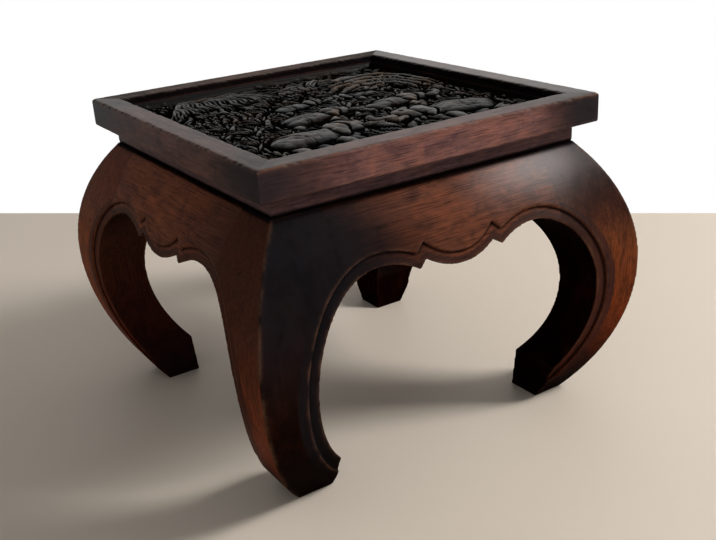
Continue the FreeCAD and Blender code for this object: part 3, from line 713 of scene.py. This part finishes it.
# An elephant facing right, in shares of its height from the spot between its feet
# Rounds: the middle across and up, the half width and half height, and the turn in radians
BODY_ROUNDS = ((-0.08, 0.66, 0.60, 0.36, 0.10), (-0.34, 0.60, 0.32, 0.35, 0.0))
HIP_ROUNDS = ((-0.40, 0.50, 0.26, 0.36, 0.0),)
FOLD_ROUNDS = ((-0.46, 0.40, 0.16, 0.46, -0.15), (0.02, 0.40, 0.22, 0.50, -0.15),
               (0.20, 0.40, 0.24, 0.42, -0.15))
HEAD_ROUNDS = ((0.62, 0.80, 0.25, 0.27, 0.0), (0.56, 0.98, 0.17, 0.13, 0.0))
EAR_ROUNDS = ((0.42, 0.80, 0.15, 0.22, 0.25), (0.37, 0.62, 0.09, 0.17, 0.35))
EYE_ROUNDS = ((0.70, 0.86, 0.045, 0.035, 0.0),)
# Bars: the start, bend and end, the number of points along them, and the radii at start and end
TAIL_BAR = ((-0.60, 0.74), (-0.80, 0.62), (-0.72, 0.26), 6, 0.04, 0.025)
TRUNK_BARS = {True: ((0.78, 0.72), (1.28, 0.62), (1.12, 1.02), 10, 0.14, 0.05),
              False: ((0.78, 0.72), (1.16, 0.42), (0.94, 0.10), 10, 0.14, 0.05)}
TUSK_BAR = ((0.78, 0.62), (0.96, 0.50), (1.08, 0.64), 5, 0.05, 0.02)
# Legs on the far and near side: where each starts across, and how far its foot leans
FAR_LEGS = ((-0.20, 0.10), (0.42, -0.04))
NEAR_LEGS = ((-0.44, -0.02), (0.20, 0.04))


class Relief:
    """Height map of the carving, in millimetres above the ground of the cut."""

    def __init__(self, x, y, height, random):
        self.x, self.y, self.height, self.random = x, y, height, random

    def window(self, centre, reach):
        """Part of the map within a reach of a spot; what is laid there shows in the whole."""
        cell = self.x[0, 1] - self.x[0, 0]
        spans = []
        for low, middle, count in ((self.y[0, 0], centre[1], self.x.shape[0]),
                                   (self.x[0, 0], centre[0], self.x.shape[1])):
            first = min(max(int((middle - reach - low) / cell), 0), count - 2)
            last = max(min(int((middle + reach - low) / cell) + 2, count), first + 2)
            spans.append(slice(first, last))
        rows, columns = spans
        return Relief(self.x[rows, columns], self.y[rows, columns], self.height[rows, columns], self.random)

    def lay(self, inside, height, moat=2.6):
        """Puts a shape with a moat round it over what lies behind; inside is the depth in its outline."""
        ditch = np.clip(1 + inside / moat, 0, 1)
        self.height[...] = np.where(inside > 0, height, self.height * (1 - ditch))

    def line(self, inside, depth):
        """Cuts a groove where inside is positive."""
        self.height[...] -= depth * np.clip(inside, 0, 1)


def placed(across, up):
    """Spot on the panel in millimetres, from shares of its half width."""
    return np.array((across, up)) * PANEL_HALF_MM


def rounded(inside, lift, shoulder, low_share=0.3):
    """Pillow profile: steep at the outline, full height a shoulder's width within it."""
    rise = np.clip(inside / shoulder, 0, 1)
    return lift * (low_share + (1 - low_share) * np.sqrt(1 - (1 - rise) ** 2))


def ellipse(relief, centre, radii, turn=0.0):
    """Depth within an ellipse, about in millimetres."""
    cos, sin = math.cos(turn), math.sin(turn)
    dx, dy = relief.x - centre[0], relief.y - centre[1]
    u = (dx * cos + dy * sin) / radii[0]
    v = (dy * cos - dx * sin) / radii[1]
    return (1 - np.hypot(u, v)) * min(radii)


def limb(relief, start, end, start_radius, end_radius):
    """Depth within a tapered round-ended bar, and how far along it each point lies."""
    ax, ay = end[0] - start[0], end[1] - start[1]
    dx, dy = relief.x - start[0], relief.y - start[1]
    along = np.clip((dx * ax + dy * ay) / (ax * ax + ay * ay), 0, 1)
    reach = np.hypot(dx - along * ax, dy - along * ay)
    return start_radius + (end_radius - start_radius) * along - reach, along


def bow(start, bend, end, count):
    """Points along a curve from start to end, drawn towards bend."""
    steps = np.linspace(0, 1, count)[:, None]
    start, bend, end = (np.asarray(point, float) for point in (start, bend, end))
    return (1 - steps) ** 2 * start + 2 * steps * (1 - steps) * bend + steps ** 2 * end


def strand(relief, points, start_radius, end_radius):
    """The same for a tapered bar that follows points."""
    depth = np.full_like(relief.x, -np.inf)
    share = np.zeros_like(relief.x)
    count = len(points) - 1
    for index in range(count):
        first = start_radius + (end_radius - start_radius) * index / count
        last = start_radius + (end_radius - start_radius) * (index + 1) / count
        part, along = limb(relief, points[index], points[index + 1], first, last)
        nearer = part > depth
        depth = np.where(nearer, part, depth)
        share = np.where(nearer, (index + along) / count, share)
    return depth, share


def turns(distance, pitch):
    """Angle of a wave after a distance."""
    return distance * 2 * math.pi / pitch


def elephant(relief, foot, size, facing, lift, raised):
    """Elephant in profile with its feet at foot; size is its height at the shoulder."""
    relief = relief.window((foot[0], foot[1] + 0.6 * size), 1.5 * size)

    def at(across, up):
        return foot[0] + facing * across * size, foot[1] + up * size

    def rounds(shares):
        return np.max([ellipse(relief, at(across, up), (wide * size, tall * size), facing * turn)
                       for across, up, wide, tall, turn in shares], axis=0)

    def bar(start, bend, end, count, start_radius, end_radius):
        points = bow(at(*start), at(*bend), at(*end), count)
        return strand(relief, points, start_radius * size, end_radius * size)

    def legs(spots, lift_share):
        for across, lean in spots:
            depth, along = limb(relief, at(across, 0.45), at(across + lean, 0.04), 0.14 * size, 0.10 * size)
            relief.lay(depth, rounded(depth, lift * lift_share, shoulder=0.11 * size))
            relief.line((1 - abs(along - 0.9) * size / 2.4) * (depth > 0), depth=1.0)

    tail, _ = bar(*TAIL_BAR)
    relief.lay(tail, rounded(tail, lift * 0.6, shoulder=0.03 * size))
    legs(FAR_LEGS, lift_share=0.55)
    trunk, along = bar(*TRUNK_BARS[raised])
    folds = 0.5 * np.cos(along * 75) * (trunk > 0)
    relief.lay(trunk, rounded(trunk, lift * 0.85, shoulder=0.09 * size) - folds)
    legs(NEAR_LEGS, lift_share=0.85)
    body = rounds(BODY_ROUNDS)
    relief.lay(body, rounded(body, lift, shoulder=0.33 * size, low_share=0.1))
    relief.line((1 - abs(rounds(HIP_ROUNDS)) / 1.3) * (body > 3), depth=1.4)
    back = (relief.y > foot[1] + 0.42 * size) * (body > 2.5)
    for fold in FOLD_ROUNDS:
        relief.line((1 - abs(rounds([fold])) / 1.1) * back, depth=0.7)
    head = rounds(HEAD_ROUNDS)
    relief.lay(head, rounded(head, lift, shoulder=0.22 * size, low_share=0.2), moat=1.8)
    tusk, _ = bar(*TUSK_BAR)
    relief.lay(tusk, rounded(tusk, lift, shoulder=0.04 * size), moat=1.4)
    ear = rounds(EAR_ROUNDS)
    relief.lay(ear, rounded(ear, lift + 0.5, shoulder=0.12 * size, low_share=0.55), moat=2.4)
    relief.line(rounds(EYE_ROUNDS) * 3, depth=1.6)


def frond(relief, start, bend, end, width, lift):
    """Palm leaf: long ribs side by side that part into leaflets towards the tip."""
    relief = relief.window(bend, math.dist(bend, end) + math.dist(bend, start))
    blade, along = strand(relief, bow(start, bend, end, 12), width * 0.75, width * 0.2)
    reach = width * (0.75 - 0.55 * along) - blade
    length = math.dist(start, end) * 1.1
    leaflets = np.sin(turns(along * length - reach * 0.9, FINE_PITCH_MM))
    ribs = np.cos(turns(reach, 0.42 * width))
    parting = np.clip(along * 5 - 3, 0, 1)
    height = rounded(blade, lift, shoulder=width * 0.7, low_share=0.35)
    relief.lay(blade, height + 1.6 * (ribs * (1 - parting) + leaflets * parting), moat=2.4)


def palm(relief, foot, bend, top, spread, lift):
    """Palm tree: ringed stem, crown of fronds from the sides up, and nuts."""
    stem, along = strand(relief, bow(foot, bend, top, 12), start_radius=6.0, end_radius=3.8)
    rings = np.sin(turns(along * math.dist(foot, top), FINE_PITCH_MM))
    relief.lay(stem, rounded(stem, lift, shoulder=5.0) + 0.7 * rings)
    for angle in FROND_TURNS:
        turn = math.radians(angle)
        out = np.array((math.cos(turn), math.sin(turn)))
        tip = top + spread * out + np.array((0, -0.35 * spread))
        knee = top + 0.62 * spread * out + np.array((0, 0.30 * spread))
        frond(relief, top, knee, tip, 0.24 * spread, lift)
    for dx, dy in ((-3.0, -3.5), (3.2, -4.2), (0.4, -6.6)):
        nut = ellipse(relief, (top[0] + dx, top[1] + dy), (3.6, 3.8))
        relief.lay(nut, rounded(nut, lift + 1.0, shoulder=3.4), moat=1.4)


def hut(relief, foot, width, lift):
    """Thatched hut on posts: plank wall, dark doorway, long thatch with ragged eaves, raised ridge."""
    relief = relief.window(foot, width)
    x0, y0 = foot

    def box(low_x, high_x, low_y, high_y):
        return np.minimum(np.minimum(relief.x - low_x, high_x - relief.x),
                          np.minimum(relief.y - low_y, high_y - relief.y))

    def part(left, right, bottom, top):
        return box(x0 + left * width, x0 + right * width, y0 + bottom * width, y0 + top * width)

    for across in np.linspace(-0.36, 0.36, 4):
        middle = x0 + across * width
        relief.lay(box(middle - 2.5, middle + 2.5, y0, y0 + 0.2 * width), lift * 0.6)
    planks = 0.9 * np.sin(turns(relief.x - x0, FINE_PITCH_MM))
    relief.lay(part(*HUT_WALL), lift * 0.7 + planks)
    relief.lay(part(*HUT_DOOR), np.full_like(relief.x, 0.3), moat=0.8)
    low, high, flare = HUT_ROOF
    up = (relief.y - y0) / width
    share = (up - low) / (high - low)
    slope = flare - 0.45 * (up - low) / (high - low) * flare
    bend = (relief.x - x0) * (1 + 0.5 * (up - low)) + 2.5 * np.sin(relief.y * 0.11 + relief.x * 0.05)
    eaves = low + 0.05 * np.sin(bend * 0.9) + 0.03 * np.sin(bend * 0.37)
    roof = np.minimum(np.minimum(up - eaves, high - up), (slope - abs(relief.x - x0) / width)) * width
    straw = (1.7 * np.sin(bend * 0.9) + 1.0 * np.sin(bend * 0.37 + 1)) * np.clip(1.15 - share, 0, 1)
    relief.lay(roof, lift - 0.4 + straw - 2.6 * np.clip(0.45 - share, 0, 1))
    ridge_ends = [(x0 + across * width, y0 + high * width) for across in (-0.30, 0.30)]
    ridge, _ = limb(relief, *ridge_ends, start_radius=3.0, end_radius=3.0)
    relief.lay(ridge, rounded(ridge, lift + 0.8, shoulder=2.6), moat=1.6)


def leaf(relief, base, length, turn, lift):
    """Pointed leaf growing from its base, with a sharp rib where its two halves meet."""
    relief = relief.window(base, 1.3 * length)
    along = np.array((math.sin(turn), math.cos(turn)))
    middle = np.asarray(base) + 0.5 * length * along
    u = (relief.x - middle[0]) * along[0] + (relief.y - middle[1]) * along[1]
    v = (relief.x - middle[0]) * along[1] - (relief.y - middle[1]) * along[0]
    inside = 0.62 * length - np.hypot(u, abs(v) + 0.32 * length)
    pitch = np.clip(1 - abs(v) / (0.30 * length), 0, 1)
    veins = 0.7 * np.sin(turns(u - 0.9 * abs(v), 5.2)) * np.clip(length / 10 - 2, 0, 1)
    relief.lay(inside, lift * (0.35 + 0.65 * pitch) - 1.2 * u / length + veins, moat=1.8)


def bush(relief, centre, radii, size, lift, unevenness):
    """Rounded shrub of overlapping leaves that fan outwards, laid from the top row down."""
    rows = int(2 * radii[1] / (size * 0.45)) + 1
    for row, level in enumerate(np.linspace(1, -1, rows)):
        half = radii[0] * math.sqrt(max(1 - level ** 2, 0.15))
        count = max(2, int(2 * half / (size * 0.58)))
        for across in np.linspace(-half, half, count) + (row % 2) * size * 0.3:
            jitter = relief.random.uniform(-1, 1, 3) * unevenness
            base = (centre[0] + across + 0.12 * size * jitter[0],
                    centre[1] + level * radii[1] - 0.5 * size + 0.12 * size * jitter[1])
            turn = 0.9 * unevenness * across / radii[0] + 0.3 * jitter[2]
            leaf(relief, base, size, turn, lift * (1 - 0.25 * level ** 2))


def grass(relief, foot, size, blades, lift):
    """Fan of pointed blades growing from one spot."""
    relief = relief.window(foot, 1.3 * size)
    for lean in np.linspace(-0.9, 0.9, blades):
        tip = (foot[0] + lean * size * 0.8, foot[1] + size * (1.05 - 0.45 * abs(lean)))
        bend = (foot[0] + lean * size * 0.25, foot[1] + size * 0.6)
        blade, _ = strand(relief, bow(foot, bend, tip, 5), size * 0.10, size * 0.03)
        relief.lay(blade, rounded(blade, lift, shoulder=size * 0.08), moat=1.2)


def tufts(relief, high, low, lift):
    """Rows of grass tufts over the open ground, from the back row forward."""
    pitch = GRASS_PITCH_MM
    for row, level in enumerate(np.arange(high * PANEL_HALF_MM, low * PANEL_HALF_MM, -pitch)):
        for across in np.arange(-PANEL_HALF_MM + (row % 2) * pitch * 0.6, PANEL_HALF_MM, pitch * 1.25):
            shift = relief.random.uniform(-0.25, 0.25, 2) * pitch
            grass(relief, (across + shift[0], level + shift[1] - pitch), pitch * 1.45, 5, lift)


def hills(relief, centre, radius, pitch, lift, count):
    """Terraced hillside: ridges that follow one another round a far centre."""
    distance = np.hypot(relief.x - centre[0], (relief.y - centre[1]) * 1.25)
    inside = np.minimum(radius - distance, distance - (radius - pitch * count))
    waves = 0.5 + 0.5 * np.cos(turns(radius - distance, pitch))
    relief.lay(inside, lift * (0.2 + 0.8 * np.sqrt(waves)))


def carve():
    """The whole carving, from the hills and huts at the back to the near grass."""
    side = np.linspace(-PANEL_HALF_MM, PANEL_HALF_MM, RELIEF_FINENESS * RELIEF_CELLS + 1)
    x, y = np.meshgrid(side, side)
    relief = Relief(x, y, np.zeros_like(x), np.random.default_rng(RELIEF_SEED))
    hills(relief, placed(0.3, -0.2), radius=1.45 * PANEL_HALF_MM, pitch=13.0, lift=5.0, count=10)
    plant(relief, "sky")
    plant_palm(relief, "far")
    for across, up, width in HUTS:
        hut(relief, placed(across, up), width * PANEL_HALF_MM, LIFTS_MM["far"])
    plant(relief, "back")
    tufts(relief, 0.28, -0.2, GRASS_LIFTS_MM["far"])
    plant_palm(relief, "middle")
    for sweep in SWEEPS:
        blade, _ = strand(relief, bow(*(placed(*spot) for spot in sweep), 16), *SWEEP_RADII_MM)
        height = rounded(blade, LIFTS_MM["middle"] + 0.6, shoulder=SWEEP_RADII_MM[0], low_share=0.3)
        relief.lay(blade, height, moat=2.0)
    for distance in ("far", "middle", "near"):
        for across, up, height, facing, raised in ELEPHANTS[distance]:
            elephant(relief, placed(across, up), height * PANEL_HALF_MM, facing, LIFTS_MM[distance], raised)
        plant(relief, distance)
        if distance != "near":
            lowest = min(up for _, up, *_ in ELEPHANTS[distance])
            tufts(relief, lowest + 0.04, lowest - 0.5, GRASS_LIFTS_MM["middle"])
    for across in np.linspace(-0.93, 0.93, 21) * PANEL_HALF_MM:
        size = 16 + 6 * relief.random.random()
        grass(relief, (across, -0.99 * PANEL_HALF_MM), size, 7, GRASS_LIFTS_MM["near"])
    relief.height = hand_cut(relief)
    margin = RELIEF_MARGIN_MM - PANEL_HALF_MM + np.maximum(abs(x), abs(y))
    relief.lay(margin, np.full_like(x, RELIEF_DEPTH_MM), moat=2.2)
    return blurred(relief.height, 1)[::RELIEF_FINENESS, ::RELIEF_FINENESS]


def hand_cut(relief):
    """The drawing bent a little, with uneven surfaces, as a chisel leaves it."""
    bends = [BEND_MM * wavy(relief, BEND_CELLS) for _ in "xy"]
    cell = relief.x[0, 1] - relief.x[0, 0]
    last = relief.x.shape[0] - 1
    rows, columns = np.indices(relief.x.shape)
    rows = np.clip(np.rint(rows + bends[1] / cell).astype(int), 0, last)
    columns = np.clip(np.rint(columns + bends[0] / cell).astype(int), 0, last)
    height = relief.height[rows, columns]
    uneven = sum(high * wavy(relief, cells) for high, cells in UNEVEN_WAVES)
    return height + uneven * np.clip(height / UNEVEN_FULL_MM, 0, 1)


def wavy(relief, cells):
    """Smooth random field of about unit height, with waves a few times so many cells long."""
    field = relief.random.standard_normal(relief.x.shape)
    for _ in range(2):
        field = blurred(field, cells)
    return field / field.std()


def plant(relief, distance):
    """All the bushes at one distance."""
    for across, up, half_width, half_height in BUSHES[distance]:
        neat = across < LATTICE_EDGE
        size = LEAF_MM[distance] * (LATTICE_LEAF if neat else 1)
        unevenness = LATTICE_UNEVENNESS if neat else 1.0
        radii = placed(half_width, half_height)
        bush(relief, placed(across, up), radii, size, BUSH_LIFTS_MM[distance], unevenness)


def plant_palm(relief, distance):
    """The palm at one distance."""
    *spots, reach = PALMS[distance]
    palm(relief, *(placed(*spot) for spot in spots), reach * PANEL_HALF_MM, LIFTS_MM[distance])


def blurred(height, cells):
    """Box mean of a height map over a square of the given half-width in cells."""
    width = 2 * cells + 1
    for axis in (0, 1):
        padding = [(cells + 1, cells) if a == axis else (0, 0) for a in (0, 1)]
        sums = np.cumsum(np.pad(height, padding, mode="edge"), axis=axis)
        height = (np.take(sums, range(width, sums.shape[axis]), axis)
                  - np.take(sums, range(sums.shape[axis] - width), axis)) / width
    return height


def carved_panel():
    """The panel as one closed mesh: the carving on top, straight sides and a flat back."""
    height = carve()
    count = RELIEF_CELLS + 1
    low, high = (Vector(corner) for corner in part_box("carved_panel"))
    across = np.linspace(low.x, high.x, count)
    x, y = np.meshgrid(across, across)
    top = high.z - (RELIEF_DEPTH_MM - np.minimum(height, RELIEF_DEPTH_MM)) / 1000
    places = np.stack([x, y, top], axis=-1).reshape(-1, 3)
    index = np.arange(count * count).reshape(count, count)
    corners = [index[:-1, :-1], index[:-1, 1:], index[1:, 1:], index[1:, :-1]]
    quads = np.stack(corners, axis=-1).reshape(-1, 4)
    border = np.concatenate([index[0, :-1], index[:-1, -1], index[-1, :0:-1], index[:0:-1, 0]])
    skirt = places[border] * (1, 1, 0) + (0, 0, low.z)
    below = len(places) + np.arange(len(border))
    sides = np.stack([border, below, np.roll(below, -1), np.roll(border, -1)], axis=-1)
    faces = quads.tolist() + sides.tolist() + [below[::-1].tolist()]
    mesh = bpy.data.meshes.new("carved_panel_relief")
    mesh.from_pydata(np.concatenate([places, skirt]).tolist(), [], faces)
    mesh.validate()
    smooth = np.zeros(len(mesh.polygons), dtype=bool)
    smooth[:len(quads)] = True
    mesh.polygons.foreach_set("use_smooth", smooth)
    # Painted light and shade: darker below the local mean and on slopes turned to the front, lighter up
    # high
    rise_back, rise_right = np.gradient(blurred(height, 1), 2000 * high.x / RELIEF_CELLS)
    turned_front = np.clip(FRONT_WAY[0] * rise_back + FRONT_WAY[1] * rise_right, -1, 1)
    painted_light = sum(((height - blurred(height, cells)) / rise for cells, rise in PAINTED_LIGHT_RISES), PAINTED_LIGHT_LEAST)
    painted_light = np.clip(painted_light + height / PAINTED_LIGHT_HEIGHT_MM - PAINTED_FRONT_SHADE * turned_front, 0, 1)
    # The rim beside the rails' inner walls gets a fixed painted shade, lighter along the back
    rim = np.maximum(abs(x), abs(y)) > (PANEL_HALF_MM - RELIEF_MARGIN_MM - RIM_TONE_MM) / 1000
    painted_light = np.where(rim, np.where(y > abs(x), BACK_RIM_PAINTED_LIGHT, RIM_PAINTED_LIGHT), painted_light)
    store(mesh, "relief", np.concatenate([painted_light.ravel(), np.full(len(border), RIM_PAINTED_LIGHT)]))
    piece = bpy.data.objects.new("carved_panel_relief", mesh)
    scene.collection.objects.link(piece)
    mesh.materials.append(carved_material())
    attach(piece, "root")
    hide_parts("carved_panel")


# Pieces

# Painted shade: how light each rail is outside and on its inner faces, and the inner faces of the legs and
# aprons
SIDE_SHADE_DEPTHS = {"front": 1.0, "right": 1.0, "back": 0.85, "left": 0.6}
INNER_RAIL_SHADE = {"front": 0.2, "right": 0.02, "back": 0.34, "left": 0.2}
INNER_SHADE_DEPTHS = {"front_right": 0.03, "back_right": 0.05, "back_left": 0.72, "front_left": 0.05}
INNER_APRON_SHADE = 0.05
# How much lighter than its stain each leg's wood is
LEG_TONES = {"front_right": 1.0, "back_right": 1.0, "back_left": 1.4, "front_left": 1.0}
# Blue-black film on rail ends, neck, leg tops and lip, and the lip's width in steps of the mesh
RAIL_FILM = 0.62
NECK_FILM = 0.3
LEG_FILM = 0.42
LIP_FILM = 0.62
LIP_STEPS = 13
LIP_TOP = NECK_BOTTOM - 0.03
# Rubbed grey with painted reflection, and polish, of the frame's top, and the polish of its sides, the base
# and the base's sheen
RUB_AND_REFLECTION_TOPS = {"front": 0.8, "right": 1.0, "back": 0.9, "left": 0.6}
TOP_POLISH = {"front": 0.05, "right": 0.16, "back": 0.0, "left": 0.04}
RAIL_POLISH = 0.03
BASE_POLISH = 0.008
SHEEN_POLISH = 0.17
# Bands over which a measure rises: along a rail in metres, and as a face turns outwards or to a side
RAIL_ENDS = (0.12, 0.24)
OUT_TURN = (-0.4, 0.1)
SIDE_TURN = (0.3, 0.7)


def eased(value, low, high):
    """Smooth step from 0 at low to 1 at high."""
    share = np.clip((value - low) / (high - low), 0, 1)
    return share * share * (3 - 2 * share)


def rail_shade(side):
    """Rails are darker towards their ends, with painted shade inside, in the recess and on the back and
    left; their tops are rubbed grey with painted reflection, their ends filmed.
    """
    def shade(places, normals, ends):
        out = places @ OUTWARD[side]
        facing = normals @ OUTWARD[side]
        tip = eased(abs(places[:, 0] if GRAIN[side] == "x" else places[:, 1]), *RAIL_ENDS)
        dark_tip = eased(places[:, 0], *RAIL_ENDS) * (side == "front")
        top = eased(places[:, 2], TABLE_TOP - 0.004, TABLE_TOP - 0.001)
        recess = (1 - top) * (1 - eased(out, TOP_HALF - 0.034, TOP_HALF - 0.026))
        outward = eased(facing, *OUT_TURN) * (1 - recess)
        inner_shade = INNER_RAIL_SHADE[side] * (1 - 0.8 * eased(-facing, *SIDE_TURN))
        upward = eased(normals[:, 2], 0.5, 0.9) * top
        stain = (1 - 0.7 * tip) * (1 - 0.6 * dark_tip)
        return {"shade": stain * (inner_shade + (1 - inner_shade) * outward) * SIDE_SHADE_DEPTHS[side],
                "rub_and_reflection": RUB_AND_REFLECTION_TOPS[side] * upward,
                "polish": RAIL_POLISH * (1 - upward) * (1 - recess) + TOP_POLISH[side] * upward,
                "film": RAIL_FILM * tip * (1 - upward) * (1 - recess),
                "wear": np.maximum(0.25 * top, eased(out, TOP_HALF - 0.012, TOP_HALF - 0.004))}
    return shade


def neck_shade(side):
    """The neck is dull and filmed, with painted shade on its inward faces and painted shadow, near black,
    in the gap over the base.
    """
    def shade(places, normals, ends):
        outward = eased(normals @ OUTWARD[side], *OUT_TURN)
        gap_shadow = eased(places[:, 2], NECK_BOTTOM + 0.002, NECK_BOTTOM + 0.006)
        return {"shade": outward * gap_shadow, "polish": RAIL_POLISH * gap_shadow, "film": NECK_FILM * gap_shadow}
    return shade


def base_shade(outward, inner_shade_depth, film_depth):
    """Legs and aprons are reddest low down, partly as painted warm bounce from the floor, darker at the
    corners under the neck, and near black at the toes with stain and painted shade; painted shade inside,
    painted shadow in the gap under the neck, and painted light on the left faces; the front left corner and
    the lip are filmed."""
    def shade(places, normals, ends):
        x, y, height = places.T
        along = np.where(abs(normals[:, 1]) > abs(normals[:, 0]), abs(x), abs(y))
        toes = 0.04 + 0.26 * inner_shade_depth
        toe_stain_and_shade = toes + (1 - toes) * eased(height, 0.0, 0.16)
        corner = eased(along, 0.08, 0.22) * eased(height, 0.20, 0.34)
        front = eased(-normals[:, 1], *SIDE_TURN)
        left = eased(-normals[:, 0], *SIDE_TURN)
        stained = eased(-x - y, 0.25, 0.45)
        outside = eased(normals @ outward, -0.4, 0.3)
        inside = inner_shade_depth + (1 - inner_shade_depth) * outside
        gap_shadow = eased(NECK_BOTTOM - height, 0.001, 0.006)
        corners = (1 - 0.5 * corner * (1 - 0.7 * left)) * (1 - stained * 0.9 * front) * (1 + 0.65 * left)
        sheen = eased(normals[:, 2], 0.1, 0.6) * eased(x, 0.0, 0.15)
        sheen = sheen * (1 - 0.74 * eased(x, 0.16, 0.24)) * (1 - left)
        lip = spread((normals @ outward < 0.25) * (height < LIP_TOP), ends, LIP_STEPS) * outside
        film = gap_shadow * outside * stained * (0.7 * front + 0.6 * left) * eased(height, 0.13, 0.29)
        film = np.maximum(film, film_depth * outside * eased(height, 0.22, 0.30))
        film = np.maximum(film, LIP_FILM * lip * eased(height, 0.02, 0.14))
        film = np.maximum(film, 0.6 * inner_shade_depth * (1 - outside))
        return {"shade": toe_stain_and_shade * inside * gap_shadow * corners,
                "polish": inside * gap_shadow * toe_stain_and_shade * (BASE_POLISH + SHEEN_POLISH * sheen),
                "film": film,
                "red_and_bounce": 1 - eased(height, 0.06, 0.26),
                "wear": (0.15 + 0.85 * outside) * (0.3 + 0.7 * eased(height, 0.0, 0.12))}
    return shade


def dress():
    """Worn copies of every wooden piece, each with its own cut of wood."""
    seed = 0
    for side in SIDES:
        for kind, weight, shade, joints in (
                ("top_rail", rail_weight, rail_shade(side), mitres(side)),
                ("neck", rail_weight, neck_shade(side), mitres(side)),
                ("apron", base_weight, base_shade(OUTWARD[side], INNER_APRON_SHADE, 0.0), apron_seams(side))):
            seed += 1
            piece = worn_copy(f"{kind}_{side}", kind, weight, shade, joints)
            wood = wood_material(f"{kind}_{side}_wood", GRAIN[side], seed, STAINS[kind], FILMS[kind])
            piece.data.materials.append(wood)
    for corner in CORNERS:
        seed += 1
        shade = base_shade(OUTWARD[corner], INNER_SHADE_DEPTHS[corner], LEG_FILM)
        piece = worn_copy(f"leg_{corner}", "leg", base_weight, shade, leg_seams(corner))
        stain = tuple(LEG_TONES[corner] * channel for channel in STAINS["leg"])
        piece.data.materials.append(wood_material(f"leg_{corner}_wood", "z", seed, stain, FILMS["leg"]))


def dress_joinery():
    """The hidden splines, dowels and screws keep their CAD shapes."""
    wood = plain_material("joinery_wood", JOINERY_TONES, metal=0.0)
    steel = plain_material("screw_steel", STEEL_TONES, metal=1.0)
    for name, material in (("mitre_splines", wood), ("apron_dowels", wood),
                           ("neck_screws", steel), ("top_screws", steel)):
        nodes[name].data.materials.clear()
        nodes[name].data.materials.append(material)


dress()
carved_panel()
dress_joinery()
add_stage()
add_world()
add_lamp()
add_camera()
